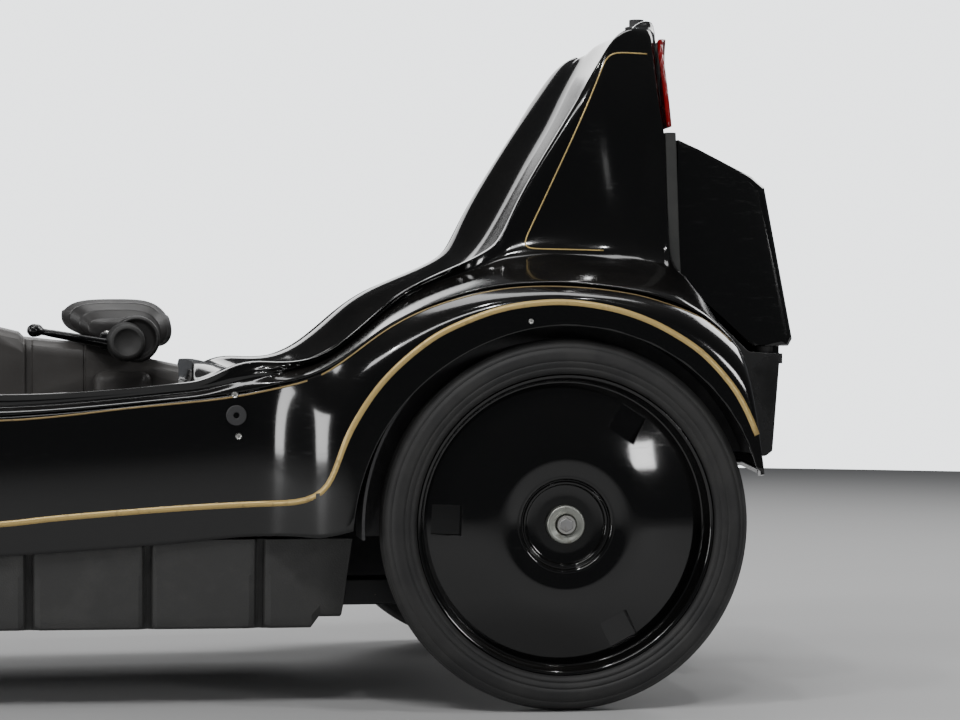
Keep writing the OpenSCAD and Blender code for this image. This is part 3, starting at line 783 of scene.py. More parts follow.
def press_groove(bm: bmesh.types.BMesh, x: float, half: float, depth: float,
                 low: float = -1.0, high: float = 9.0) -> None:
    """Presses an upright groove into both flanks of a shell.

    Args:
        bm: the shell.
        x: the groove's middle, in metres.
        half: half its width in millimetres.
        depth: its depth in millimetres.
        low: the height where it starts, in metres.
        high: the height where it ends, in metres.
    """
    for reach in (-half, -half * 0.55, half * 0.55, half):
        bmesh.ops.bisect_plane(bm, geom=bm.verts[:] + bm.edges[:] + bm.faces[:], dist=1e-6,
                               plane_co=(x + reach * MM, 0, 0), plane_no=(1, 0, 0))
    bm.normal_update()
    inside = [v for v in bm.verts if abs(v.co.x - x) < half * 0.7 * MM
              and abs(v.normal.y) > 0.45 and low < v.co.z < high]
    for vert in inside:
        vert.co.y -= math.copysign(depth * MM, vert.co.y)


# --- the body shells
@dataclass
class BodyShells:
    """The gloss shells with their seams, tape and screws; the pale waist seam line is a painted
    highlight.
    """

    levels: int = 2
    rim_angle: float = 62.0
    nose_stripe: Pair = (252.0, 14.0)
    nose_seam: Pair = (331.0, 4.0)
    seam_drop: float = 4.2
    tape: float = 6.4
    seam: float = 1.9
    panel: float = 1.5
    nose_pivot: float = -1350.0
    stripe_run: tuple[Pair, ...] = (
        (-1350, 238), (-1300, 234), (-1200, 225), (-1100, 217), (-1000, 210), (-850, 205),
        (-700, 203), (-606, 205), (-560, 210), (-501, 215), (-400, 222), (-303, 227), (-281, 230),
        (-263, 241), (-252, 265), (-237, 306), (-202, 359), (-151, 404), (-114, 423),
        (-75, 437), (-41, 443), (-7, 445), (25, 442), (56, 436), (91, 424), (123, 407),
        (147, 391), (167, 371), (186, 348), (200, 322), (209, 300))
    seam_run: tuple[Pair, ...] = (
        (-1340, 328), (-1200, 325), (-1100, 322), (-900, 319), (-608, 321), (-541, 326),
        (-472, 334), (-363, 345), (-300, 358), (-270, 367), (-240, 386), (-201, 415),
        (-170, 433), (-136, 447), (-100, 457), (-70, 463), (-35, 466), (-4, 466),
        (40, 463), (85, 456), (118, 446), (150, 434), (172, 419), (186, 406))
    panel_run: tuple[Pair, ...] = (
        (61, 504), (20, 505), (-20, 506), (-29, 508), (-28, 513), (-10, 550), (30, 634),
        (66, 711), (72, 724), (80, 731), (100, 733), (126, 733))
    screws: tuple[tuple[str, float, float, float, float], ...] = (
        ("mirror_screw_above_%s", 4.2, 2.2, -356, 344),
        ("mirror_screw_below_%s", 4.2, 2.2, -352, 299), ("arch_screw_%s", 3.2, 1.5, -41, 424))

    def build(self) -> None:
        """Builds each shell and what lies on it."""
        upper, lower = (Skin(self.shell(node)) for node in ("upper_shell", "lower_shell"))
        self.lines(upper, lower)

    def shell(self, node: str) -> bpy.types.Object:
        """One shell as a subdivided copy of its CAD node.

        Args:
            node: the CAD node it stands for.

        Returns:
            The piece.
        """
        shape = Shape.copy_of(node + "_skin", node)
        crease(shape.bm, self.rim_angle)
        obj = shape.done("body", GLOSS, "gloss_black")
        subdivide(obj, self.levels)
        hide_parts(node)
        return obj

    def lines(self, upper: Skin, lower: Skin) -> None:
        """Lays the tape, the waist seam line (a real seam, its pale tone a painted highlight) and
        the panel lines and drives the screws.

        Args:
            upper: the upper shell.
            lower: the lower shell.
        """
        (high, fall), (seam_high, seam_fall) = self.nose_stripe, self.nose_seam
        for side in Side:
            nose = [lower.nose_hit(self.nose_pivot, a, high - fall * (a / 90) ** 0.7, side)
                    for a in range(30, 90, 4)]
            flank = [lower.side_hit(x, z, side) for x, z in along(self.stripe_run, 9)]
            Line("gold_stripe_" + side.word, self.tape).lay(nose + flank)
            nose = [lower.nose_hit(self.nose_pivot, a, seam_high - seam_fall * a / 90, side)
                    for a in range(0, 90, 3)]
            flank = [lower.side_hit(x, z - self.seam_drop, side)
                     for x, z in along(self.seam_run, 9)]
            # The waist seam drawn as a pale tape: a real seam with a painted highlight.
            Line("waist_seam_painted_highlight_" + side.word, self.seam, finish=SEAM_HIGHLIGHT).lay(nose + flank)
            flank = [upper.side_hit(x, z, side) for x, z in along(self.panel_run, 6)]
            Line("tail_panel_line_" + side.word, self.panel, lift=0.1).lay(flank)
            for name, radius, rise, x, z in self.screws:
                Screw(name % side.word, radius, rise).drive(lower.side_hit(x, z, side))


@dataclass
class FloorPan:
    """The grained floor pan with its pressed grooves."""

    grooves: tuple[float, ...] = (-1090, -962, -834, -706, -578, -450, -328)
    half: float = 6.0
    depth: float = 8.0

    def build(self) -> None:
        """Presses the grooves into a copy of the pan."""
        shape = Shape.copy_of("undertray_pan", "undertray")
        centre = axle().x
        for station in self.grooves:
            press_groove(shape.bm, centre + station * MM, self.half, self.depth, 0.08, 0.30)
        obj = shape.done("body", PAN, "dark_plastic", smooth=False)
        soften(obj, 2.0, 3, 22.0)
        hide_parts("undertray")


@dataclass
class Console:
    """The cover along the middle, with its upright seams."""

    foot_x: float = -0.473
    foot_size: Triple = (0.062, 0.176, 0.120)
    foot_z: float = 0.306
    flare: Pair = (1.10, 0.84)
    wide: tuple[float, ...] = (-1100, -840, -581)
    fine: tuple[float, ...] = (-1168, -970, -905, -775, -710, -645, -517)

    def build(self) -> None:
        """Presses the seams into a copy of the console."""
        shape = Shape.copy_of("centre_console_cover", "centre_console")
        centre = axle().x
        for station in self.wide:
            press_groove(shape.bm, centre + station * MM, 5.0, 4.0)
        for station in self.fine:
            press_groove(shape.bm, centre + station * MM, 1.8, 1.5)
        obj = shape.done("body", CONSOLE, "console_plastic")
        soften(obj, 1.6, 3, 28.0)
        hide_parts("centre_console")
        self.pedestal()

    def pedestal(self) -> None:
        """The tapered foot of the steering column on the console's sides."""
        shape = Shape("column_foot")
        bm, middle = shape.bm, axle().x + self.foot_x
        for vert in add_box(bm, self.foot_size, (middle, 0, self.foot_z)):
            if vert.co.z > self.foot_z:
                vert.co.x = middle + (vert.co.x - middle) * self.flare[0]
                vert.co.y *= self.flare[1]
        bmesh.ops.bevel(bm, geom=bm.edges[:], offset=0.012, affect="EDGES", segments=4,
                        profile=0.5, material=-1)
        shape.done("body", CONSOLE, "console_plastic")


# --- the boot and the tail
@dataclass
class Boot:
    """The boot lid with its latch, the seal round the bin and the lamp across the tail."""

    latch_share: float = 0.72
    seal_wall: float = 2.2
    seal_ahead: float = 0.256
    seal_gap: Pair = (0.0062, 0.0058)
    seal_base: float = 0.374
    seal_height: float = 0.024
    latch_chain: tuple[Pair, ...] = (
        (0.0, -3.0), (9.0, -3.0), (11.0, 0.0), (11.0, 2.2), (9.6, 3.4), (6.2, 3.4),
        (5.6, 2.4), (0.0, 2.4))

    def build(self) -> None:
        """Builds the lid, the latch, the lamp and the seal."""
        self.latch(Skin(self.lid()))
        self.lamp()
        self.seal()

    def lid(self) -> bpy.types.Object:
        """The lid as a softened copy of its CAD node.

        Returns:
            The lid.
        """
        shape = Shape.copy_of("boot_lid_cover", "boot_lid", quads=False)
        bmesh.ops.dissolve_limit(shape.bm, angle_limit=math.radians(4.0),
                                 verts=shape.bm.verts, edges=shape.bm.edges)
        obj = shape.done("lid", LID_GLOSS, "gloss_black", smooth=True)
        soften(obj, 1.8, 3, 16.0)
        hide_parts("boot_lid")
        return obj

    def latch(self, skin: Skin) -> None:
        """A round lock barrel on the lid's rear face.

        Args:
            skin: the lid's surface.
        """
        low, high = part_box("boot_lid")
        place, normal, _, _ = skin.tree.ray_cast(
            Vector((high.x + 1, 0, low.z + (high.z - low.z) * self.latch_share)),
            Vector((-1, 0, 0)))
        if place is None:
            return
        shape = Shape("boot_latch")
        turn_profile(shape.bm, self.latch_chain, 48)
        shape.move(stand(place, normal))
        shape.done("lid", STEEL, "bare_steel")

    def seal(self) -> None:
        """The upright rubber seal round the bin's rim, inside the lid."""
        _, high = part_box("boot_bin")
        ahead, back = axle().x + self.seal_ahead, high.x - self.seal_gap[0]
        half = high.y - self.seal_gap[1]
        shape = Shape("boot_seal")
        bm = shape.bm
        bmesh.ops.create_grid(bm, x_segments=1, y_segments=1, size=0.5)
        bmesh.ops.scale(bm, verts=bm.verts, vec=(back - ahead, half * 2, 1))
        bmesh.ops.translate(bm, verts=bm.verts, vec=((back + ahead) / 2, 0, self.seal_base))
        bmesh.ops.bevel(bm, geom=bm.verts[:], offset=0.008, affect="VERTICES", segments=4,
                        profile=0.5, material=-1)
        made = bmesh.ops.extrude_face_region(bm, geom=bm.faces[:])["geom"]
        bmesh.ops.translate(bm, verts=[g for g in made if isinstance(g, bmesh.types.BMVert)],
                            vec=(0, 0, self.seal_height))
        bmesh.ops.recalc_face_normals(bm, faces=bm.faces)
        caps = [f for f in bm.faces if abs(f.normal.z) > 0.9]
        bmesh.ops.delete(bm, geom=caps, context="FACES_ONLY")
        obj = shape.done("body", GRIP, "dark_plastic", smooth=False)
        thicken(obj, self.seal_wall, -1.0)
        soften(obj, 0.6, 2, 40.0)

    def lamp(self) -> None:
        """The red lamp as a smoothed copy of its CAD node."""
        shape = Shape.copy_of("tail_lamp_lens", "tail_lamp")
        crease(shape.bm, 50.0, 0.85)
        obj = shape.done("body", RED_LENS, "red_lens")
        subdivide(obj, 2)
        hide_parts("tail_lamp")


# --- wheels
def turn_profile(bm: bmesh.types.BMesh, chain: Sequence[Pair], steps: int,
                 closed: bool = False) -> None:
    """Spins a chain of (radius, height) points about Z and turns its faces outwards.

    Args:
        bm: an empty mesh.
        chain: the points, in millimetres.
        steps: how many steps a full turn takes.
        closed: joins the last point to the first.
    """
    verts = [bm.verts.new((r * MM, 0.0, h * MM)) for r, h in chain]
    edges = [bm.edges.new(pair) for pair in zip(verts, verts[1:])]
    if closed:
        edges.append(bm.edges.new((verts[-1], verts[0])))
    bmesh.ops.spin(bm, geom=verts + edges, cent=(0, 0, 0), axis=(0, 0, 1), dvec=(0, 0, 0),
                   angle=2 * math.pi, steps=steps, use_merge=True)
    bmesh.ops.remove_doubles(bm, verts=bm.verts, dist=1e-6)
    bmesh.ops.recalc_face_normals(bm, faces=bm.faces)


def sweep(bm: bmesh.types.BMesh, path: Sequence[Vector], radius: float, sides: int) -> None:
    """Draws a round bar along a path and closes its ends.

    Args:
        bm: the mesh that it is added to.
        path: the points of its middle line, in metres.
        radius: its radius in metres.
        sides: how many sides it has.
    """
    ring = None
    for k, point in enumerate(path):
        ahead = (path[min(k + 1, len(path) - 1)] - path[max(k - 1, 0)]).normalized()
        made = bmesh.ops.create_circle(bm, cap_ends=k in (0, len(path) - 1),
                                       segments=sides, radius=radius,
                                       matrix=stand(point, ahead))["verts"]
        edges = list({e for v in made for e in v.link_edges})
        if ring is not None:
            bmesh.ops.bridge_loops(bm, edges=ring + edges)
        ring = edges
    bmesh.ops.recalc_face_normals(bm, faces=bm.faces)


DRAWN_HALF_TYRE = 24.0
TYRE_WALL: tuple[Pair, ...] = (
    (0.00, 0.50), (0.00, 0.72), (0.06, 0.84), (0.12, 0.90), (0.155, 0.905),
    (0.17, 0.885), (0.20, 0.89), (0.215, 0.925), (0.29, 0.955), (0.34, 0.975),
    (0.345, 0.96), (0.365, 0.962), (0.37, 0.985), (0.46, 1.0), (0.58, 0.99),
    (0.70, 0.945), (0.705, 0.925), (0.725, 0.918), (0.73, 0.925), (0.83, 0.80),
    (0.895, 0.66), (0.905, 0.63), (0.90, 0.60), (0.905, 0.57), (0.945, 0.53),
    (0.968, 0.42), (0.945, 0.395), (0.945, 0.345), (0.975, 0.32), (0.99, 0.20),
    (0.965, 0.18), (0.965, 0.12), (0.993, 0.10), (0.997, 0.0))
TYRE_INSIDE: tuple[Pair, ...] = ((0.1, -0.5), (0.5, -0.8), (0.85, -0.4), (0.85, 0.4),
                                 (0.5, 0.8), (0.1, 0.5))
DISC: tuple[Pair, ...] = (
    (10.5, 3.6), (30, 3.6), (40.5, 3.8), (42.6, 4.6), (43.6, 8.2), (44.8, 9.2),
    (46.2, 9.2), (47.2, 8.2), (48.4, 8.2), (49.4, 11.0), (50.8, 12.4), (52.6, 12.6),
    (54.6, 12.4), (60, 13.9), (68, 14.9), (76, 14.9), (88, 13.6), (100, 11.3), (113, 8.3),
    (126, 4.9), (138, 1.4), (149, -2.0), (152.5, -3.0), (154, -3.4), (155.5, -2.6),
    (157, 4.0), (158.6, 13.8), (160.6, 15.6), (162.6, 16.0), (164.2, 15.0), (164.4, 12.0),
    (159.0, 10.0), (158.6, -10.0), (164.4, -12.0), (164.2, -15.6), (161.0, -17.0),
    (157.0, -15.0), (154.5, -11.5), (146.0, -11.0), (104, -10.4), (92, -2.0), (60, -1.0),
    (50, -6.0), (31, -9.0), (27, -12.0), (25, -37.5), (10.5, -37.5))
WASHER_RING: tuple[Pair, ...] = (
    (0.0, 4.0), (19.6, 4.0), (21.0, 5.6), (21.0, 11.4), (19.8, 12.8), (17.8, 13.0),
    (16.6, 12.0), (12.6, 11.6), (11.6, 11.0), (11.2, 7.4), (0.0, 7.4))


@dataclass
class Wheel:
    """A moulded disc wheel with its ribbed tyre, turned about one axle."""

    word: str
    body: str
    tyre_node: str
    wheel_node: str
    side: Side = Side.LEFT
    scale: float = 1.0
    half_tyre: float = DRAWN_HALF_TYRE
    rim_radius: float = 163.0
    rim_gap: float = 1.2
    bore: float = 10.2
    inner_end: float = -37.5
    hub_cap: Optional[str] = None
    pockets: tuple[float, ...] = (177.5, 57.5, 297.5)
    pocket_band: Pair = (113.0, 148.0)
    pocket_floor: float = -6.0
    pocket_taper: float = 0.9
    pocket_tilt: float = 2.0
    steps: int = 144

    def frame(self) -> Matrix:
        """Turns Z to the wheel's outer side and carries it to its centre."""
        low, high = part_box(self.tyre_node)
        return (Matrix.Translation((low + high) / 2)
                @ Matrix.Rotation(math.radians(-90 * self.side.value), 4, "X"))

    def build(self) -> None:
        """Builds the tyre, the disc and, on a bolted wheel, the hub."""
        self.tyre()
        self.disc()
        if self.hub_cap:
            self.hub(self.hub_cap)

    def finish(self, shape: Shape, finish: Finish, slot: str) -> bpy.types.Object:
        """Carries a shape to the axle and finishes it."""
        shape.move(self.frame())
        return shape.done(self.body, finish, slot)

    def tyre(self) -> None:
        """The tyre, with ribs on its wall and round its tread."""
        low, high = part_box(self.tyre_node)
        rim = self.rim_radius * self.scale + self.rim_gap
        tall, half = (high.x - low.x) / 2 / MM + 0.1 - rim, self.half_tyre
        upper, inside = ([(rim + tall * a, half * b) for a, b in chain]
                         for chain in (TYRE_WALL, TYRE_INSIDE))
        lower = [(r, -h) for r, h in reversed(upper[:-1])]
        shape = Shape("tyre_" + self.word)
        turn_profile(shape.bm, upper + lower + inside, self.steps, closed=True)
        obj = self.finish(shape, TYRE, "tyre")
        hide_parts(self.tyre_node)

    def disc(self) -> None:
        """The dished disc with its hub rings, rim lip and three pockets."""
        rise = self.half_tyre / DRAWN_HALF_TYRE
        chain = [(max(self.bore, r * self.scale) if r > 12 else self.bore,
                  max(h * rise, self.inner_end)) for r, h in DISC]
        shape = Shape("disc_" + self.word)
        turn_profile(shape.bm, chain, self.steps, closed=True)
        obj = self.finish(shape, WHEEL_GLOSS, "wheel_black")
        self.cut_pockets(obj)
        soften(obj, 0.5, 2, 40.0)
        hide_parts(self.wheel_node)

    def cut_pockets(self, disc: bpy.types.Object) -> None:
        """Cuts the square pockets into the disc's outer face.

        Args:
            disc: the disc in its place.
        """
        tool = Shape("pocket_tool")
        low, high = (r * self.scale * MM for r in self.pocket_band)
        width, floor, top = high - low, self.pocket_floor * MM, 30 * MM
        for angle in self.pockets:
            block = add_box(tool.bm, (width, width, top - floor), (0, 0, 0))
            bmesh.ops.scale(tool.bm, verts=[v for v in block if v.co.z < 0],
                            vec=(self.pocket_taper, self.pocket_taper, 1))
            place = (Matrix.Rotation(math.radians(angle), 4, "Z")
                     @ Matrix.Translation(((low + high) / 2, 0, (top + floor) / 2))
                     @ Matrix.Rotation(math.radians(self.pocket_tilt), 4, "Y"))
            bmesh.ops.transform(tool.bm, matrix=place, verts=block)
        tool.move(self.frame())
        cutter = link(tool)
        cut = disc.modifiers.new("pockets", "BOOLEAN")
        cut.operation, cut.solver, cut.object = "DIFFERENCE", "EXACT", cutter
        graph = bpy.context.evaluated_depsgraph_get()
        carved = bpy.data.meshes.new_from_object(disc.evaluated_get(graph))
        disc.modifiers.clear()
        disc.data = carved
        bpy.data.meshes.remove(cutter.data)

    def hub(self, node: str) -> None:
        """A washer and a hexagon bolt over the axle's end.

        Args:
            node: the CAD hub cap that they stand for.
        """
        washer = Shape("hub_washer_" + self.word)
        turn_profile(washer.bm, WASHER_RING, 64)
        self.finish(washer, WASHER, "bare_steel")
        bolt = Shape("hub_bolt_" + self.word)
        bmesh.ops.create_cone(bolt.bm, cap_ends=True, segments=6, radius1=8.2 * MM,
                              radius2=8.2 * MM, depth=8.0 * MM)
        bolt.sink_top(1.3, 0.7)
        bolt.move(Matrix.Translation((0, 0, 11.4 * MM)))
        obj = self.finish(bolt, ALLOY, "bare_steel")
        soften(obj, 0.5, 2, 30.0)
        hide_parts(node)


# --- controls
@dataclass
class Controls:
    """The handlebar's cover, bar, grips and brake levers."""

    bar_x: float = -470.0
    bar_z: float = 415.0
    drop: float = 14.0
    housing_x: float = -458.0
    bar_radius: float = 11.0
    column_x: float = -478.0
    column_radius: float = 9.0
    collar_out: float = 87.0
    collar_drop: float = 11.0
    grip_out: float = 104.0
    lever_ball: Triple = (-574.0, 140.0, 414.0)
    lever_root: Triple = (-486.0, 101.0, 398.0)
    clamp: Triple = (-485.0, 100.0, 402.0)
    clamp_size: Triple = (0.030, 0.013, 0.020)
    pin: Triple = (-491.0, 100.0, 412.0)
    outline: tuple[Pair, ...] = (
        (-545, 426), (-543, 439), (-533, 448), (-512, 451.5), (-480, 452), (-450, 451.5),
        (-432, 446), (-419, 433), (-413, 415), (-417, 399), (-432, 393), (-462, 396),
        (-492, 401), (-516, 407), (-536, 415))
    rows: tuple[Triple, ...] = (
        (-92, 0.44, -10), (-88, 0.58, -8), (-78, 0.72, -4), (-64, 0.88, -1), (-50, 0.97, 0),
        (-24, 1.0, 0), (24, 1.0, 0), (50, 0.97, 0), (64, 0.88, -1), (78, 0.72, -4),
        (88, 0.58, -8), (92, 0.44, -10))
    collar_chain: tuple[Pair, ...] = (
        (0.0, 0.0), (21.0, 0.0), (25.4, 1.4), (27.0, 5.0), (27.2, 14.0), (26.2, 17.4),
        (24.0, 19.0), (22.2, 18.6), (21.6, 16.6), (18.0, 16.0), (0.0, 16.0))

    def build(self) -> None:
        """Builds the bar, its cover and what is on each side of it."""
        self.bar()
        self.cover()
        for side in Side:
            self.turned("switch_housing_" + side.word, self.collar_chain, side,
                        self.collar_out, SHROUD, "dark_plastic",
                        (self.housing_x, self.bar_z - self.collar_drop))
            self.grip(side)
            self.lever(side)

    def spot(self, x: float, y: float, z: float, side: Side = Side.RIGHT) -> Vector:
        """A place from the rear axle, outwards and up from the floor, in millimetres."""
        return Vector((axle().x + x * MM, side.value * y * MM, z * MM))

    def bar(self) -> None:
        """The column and the cranked bar."""
        shape = Shape("handlebar_tube")
        x, z, low = self.bar_x, self.bar_z, self.bar_z - self.drop
        half = ((190, low), (92, low), (74, low + 3), (52, z - 2), (34, z))
        path = [(-y, h) for y, h in half] + list(reversed(half))
        sweep(shape.bm, [self.spot(x, y, h) for y, h in path], self.bar_radius * MM, 32)
        foot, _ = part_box("handlebar")
        column = [self.spot(self.column_x, 0, h) for h in (foot.z / MM + 0.5, 300, 380)]
        sweep(shape.bm, column + [self.spot(self.column_x + 2, 0, z + 6)],
              self.column_radius * MM, 32)
        obj = shape.done("handlebar_assembly", FRAME_PAINT, "frame_paint")
        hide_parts("handlebar")

    def cover(self) -> None:
        """The moulded cover, lofted across the car."""
        shape = Shape("handlebar_shroud")
        bm = shape.bm
        middle = self.spot(self.bar_x + 2, 0, self.bar_z)
        face = bm.faces.new([bm.verts.new(self.spot(x, 0, z)) for x, z in self.outline])
        last = (0.0, 1.0, 0.0)
        for number, row in enumerate(self.rows):
            moved = face.verts[:]
            if number:
                made = bmesh.ops.extrude_face_region(bm, geom=[face])["geom"]
                moved = [g for g in made if isinstance(g, bmesh.types.BMVert)]
                face = next(g for g in made if isinstance(g, bmesh.types.BMFace))
            ratio = row[1] / last[1]
            pivot = middle + Vector((0, 0, last[2] * MM))
            bmesh.ops.scale(bm, verts=moved, vec=(ratio, 1, ratio),
                            space=Matrix.Translation(-pivot))
            bmesh.ops.translate(bm, verts=moved,
                                vec=(0, (row[0] - last[0]) * MM, (row[2] - last[2]) * MM))
            last = row
        bmesh.ops.recalc_face_normals(bm, faces=bm.faces)
        self.recess(bm)
        crease(bm, 60.0, 0.4)
        obj = shape.done("handlebar_assembly", SHROUD, "dark_plastic")
        subdivide(obj, 3)
        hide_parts("handlebar_cover")

    def recess(self, bm: bmesh.types.BMesh) -> None:
        """Presses a shallow panel into the cover's top.

        Args:
            bm: the cover.
        """
        bm.normal_update()
        top = [f for f in bm.faces if f.normal.z > 0.9
               and abs(f.calc_center_median().y) < 0.045]
        bmesh.ops.inset_region(bm, faces=top, thickness=5 * MM, depth=0.0,
                               use_even_offset=True)
        bmesh.ops.inset_region(bm, faces=top, thickness=1.5 * MM, depth=-2.2 * MM,
                               use_even_offset=True)

    def turned(self, name: str, chain: Sequence[Pair], side: Side, start: float,
               finish: Finish, slot: str, centre: Pair) -> bpy.types.Object:
        """A piece turned about a line across the car.

        Args:
            name: its name.
            chain: (radius, distance outwards) points in millimetres.
            side: the side it is on.
            start: how far out the chain's zero lies.
            finish: its finish.
            slot: the record's material slot.
            centre: the line's station and height.

        Returns:
            The piece.
        """
        shape = Shape(name)
        turn_profile(shape.bm, chain, 56)
        shape.move(Matrix.Translation(self.spot(centre[0], start, centre[1], side))
                   @ Matrix.Rotation(math.radians(-90 * side.value), 4, "X"))
        return shape.done("handlebar_assembly", finish, slot)

    def grip(self, side: Side) -> None:
        """A ribbed grip.

        Args:
            side: the side it is on.
        """
        low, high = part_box("grip_" + side.word)
        reach = (high.y - low.y) / MM - 4.0
        ribs: list[Pair] = [(11.4, 0.0), (22.4, 0.0), (22.8, 3.0), (20.6, 9.0), (19.4, 11.0)]
        place = 13.0
        while place < reach - 18:
            ribs += [(17.6, place), (18.7, place + 0.8), (18.7, place + 4.2),
                     (17.6, place + 5.0)]
            place += 6.2
        ribs += [(17.6, reach - 12), (19.4, reach - 11), (19.8, reach - 9),
                 (19.8, reach - 4), (18.6, reach - 1.4), (15.6, reach - 0.2),
                 (14.6, reach - 0.4), (14.0, reach - 2.4), (0.0, reach - 2.6)]
        obj = self.turned("grip_sleeve_" + side.word, ribs, side, self.grip_out, GRIP,
                          "grip_rubber", (self.bar_x, self.bar_z - self.drop))
        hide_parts("grip_" + side.word)

    def lever(self, side: Side) -> None:
        """A tapered brake lever with a ball on its end, and its clamp.

        Args:
            side: the side it is on.
        """
        word = side.word
        ball = self.spot(*self.lever_ball, side)
        run = self.spot(*self.lever_root, side) - ball
        reach = run.length / MM
        chain = ((0.0, -7.8), (4.2, -6.8), (7.0, -3.4), (7.6, 0.0), (6.8, 3.8),
                 (4.6, 6.4), (3.6, 9.0), (3.6, 14.0), (4.6, 22.0), (5.4, reach * 0.55),
                 (6.2, reach - 14), (7.8, reach - 4), (7.8, reach + 3), (0.0, reach + 5))
        shape = Shape("brake_blade_" + word)
        turn_profile(shape.bm, chain, 32)
        bmesh.ops.scale(shape.bm, verts=[v for v in shape.bm.verts if v.co.z > 0.016],
                        vec=(0.8, 1.15, 1))
        shape.move(stand(ball, run))
        obj = shape.done("handlebar_assembly", LEVER, "bare_steel")
        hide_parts("brake_lever_" + word)
        clamp = Shape("brake_clamp_" + word)
        add_box(clamp.bm, self.clamp_size, self.spot(*self.clamp, side))
        obj = clamp.done("handlebar_assembly", LEVER, "frame_paint", smooth=False)
        soften(obj, 3.0, 4, 40.0)
        Screw("lever_pin_" + word, 4.6, 2.4).drive(
            (self.spot(*self.pin, side), UP), "handlebar_assembly")


@dataclass
class Pedal:
    """A pedal of two cheeks with three rubber treads between them."""

    side: Side
    cheek: float = 6.0
    treads: int = 7
    tread_gap: float = 1.8
    inset: float = 14.0
    sleeve: float = 9.5
    row_share: float = 0.355
    tread_share: float = 0.27
    bridge_share: Pair = (0.24, 0.78)

    def build(self) -> None:
        """Builds the cheeks, the treads and the sleeve on the spindle."""
        word = self.side.word
        node, body = "pedal_" + word, word + "_pedal"
        low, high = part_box(node)
        size, middle = high - low, (low + high) / 2
        long, pitch = size.y - self.inset * MM, (size.y - self.inset * MM) / self.treads
        frame = Shape("pedal_cage_" + word)
        for end in (-1, 1):
            add_box(frame.bm, (size.x, self.cheek * MM, size.z * 0.8),
                    middle + Vector((0, end * (size.y / 2 - self.cheek * MM / 2), 0)))
        sleeve = bmesh.ops.create_cone(frame.bm, cap_ends=True, segments=40,
                                       radius1=self.sleeve * MM, radius2=self.sleeve * MM,
                                       depth=size.y - self.cheek * MM)["verts"]
        bmesh.ops.transform(frame.bm, verts=sleeve, matrix=Matrix.Translation(middle)
                            @ Matrix.Rotation(math.pi / 2, 4, "X"))
        obj = frame.done(body, FRAME_PAINT, "dark_plastic", smooth=False)
        soften(obj, 1.0, 2, 40.0)
        treads = Shape("pedal_treads_" + word)
        for edge in (-1, 1):
            row = middle + Vector((edge * size.x * self.row_share, 0, 0))
            for n in range(self.treads):
                add_box(treads.bm,
                        (size.x * self.tread_share, pitch - self.tread_gap * MM, size.z),
                        row + Vector((0, (n - self.treads // 2) * pitch, 0)))
            add_box(treads.bm, (size.x * self.bridge_share[0], long,
                                size.z * self.bridge_share[1]), row)
        rubber = treads.done(body, GRIP, "dark_plastic", smooth=False)
        soften(rubber, 0.7, 2, 40.0)
        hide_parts(node)


@dataclass
class Drive:
    """The chainring's teeth."""

    teeth: int = 36
    tip: float = 0.061
    gap_share: float = 0.3
    gap_scale: float = 0.955
    offset: float = 0.050

    def build(self) -> None:
        """Builds a toothed ring over the plain one."""
        low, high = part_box("crankset")
        middle = (low + high) / 2
        shape = Shape("chainring_teeth")
        bm = shape.bm
        turn_profile(bm, ((46.0, -1.6), (58.5, -1.6), (62.0, -1.2), (62.0, 1.2),
                          (58.5, 1.6), (46.0, 1.6)), self.teeth * 4, closed=True)
        for vert in bm.verts:
            turn = math.atan2(vert.co.y, vert.co.x) / (2 * math.pi) * self.teeth
            if vert.co.xy.length > self.tip and abs(turn - round(turn)) > self.gap_share:
                vert.co.x *= self.gap_scale
                vert.co.y *= self.gap_scale
        shape.move(Matrix.Translation((middle.x, self.offset, middle.z))
                   @ Matrix.Rotation(math.radians(-90), 4, "X"))
        shape.done("cranks", STEEL, "bare_steel", smooth=False)


@dataclass
class Fittings:
    """Softened copies of the small hard parts."""

    parts: tuple[tuple[str, str, float, Finish, str], ...] = (
        ("boot_bin", "body", 2.5, BIN, "dark_plastic"),
        ("boot_frame", "body", 2.0, FLANGE, "flange_grey"),
        ("mast_socket", "body", 0.8, DARK, "dark_plastic"),
        ("mirror_boss_left", "body", 0.9, DARK, "dark_plastic"),
        ("mirror_boss_right", "body", 0.9, DARK, "dark_plastic"),
        ("headlamp_housing", "body", 1.2, DARK, "dark_plastic"),
        ("headlamp_lens", "body", 1.2, CLEAR_LENS, "clear_lens"),
        ("battery", "body", 6.0, BATTERY, "battery_case"),
        ("motor_gearbox", "body", 4.0, ALLOY, "motor_case"),
        ("chassis_beam", "body", 3.0, FRAME_PAINT, "frame_paint"),
        ("fork", "fork_assembly", 2.0, FRAME_PAINT, "frame_paint"),
        ("crankset", "cranks", 1.6, STEEL, "bare_steel"),
        ("axle_bracket_left", "body", 1.5, FRAME_PAINT, "frame_paint"),
        ("axle_bracket_right", "body", 1.5, FRAME_PAINT, "frame_paint"))
    kept: tuple[tuple[str, Finish], ...] = (
        ("lamp_housing", DARK), ("arch_liner_left", DARK), ("arch_liner_right", DARK),
        ("steering_head", FRAME_PAINT), ("boot_hinges", FRAME_PAINT),
        ("crank_bearing", STEEL), ("column_bearing", STEEL), ("rear_axle", STEEL),
        ("front_axle", STEEL))

    def build(self) -> None:
        """Gives each part rounded edges and each CAD node that stays its finish."""
        for node, body, width, finish, slot in self.parts:
            shape = Shape.copy_of(node + "_finished", node, quads=False)
            bmesh.ops.dissolve_limit(shape.bm, angle_limit=math.radians(1.0),
                                     verts=shape.bm.verts, edges=shape.bm.edges)
            obj = shape.done(body, finish, slot, smooth=False)
            soften(obj, width, 3, 35.0)
            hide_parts(node)
        for node, finish in self.kept:
            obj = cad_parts[node]
            obj.data.materials.clear()
            obj.data.materials.append(finish.make())
            LOG.info("%s: carried over in %s", node, finish.name)


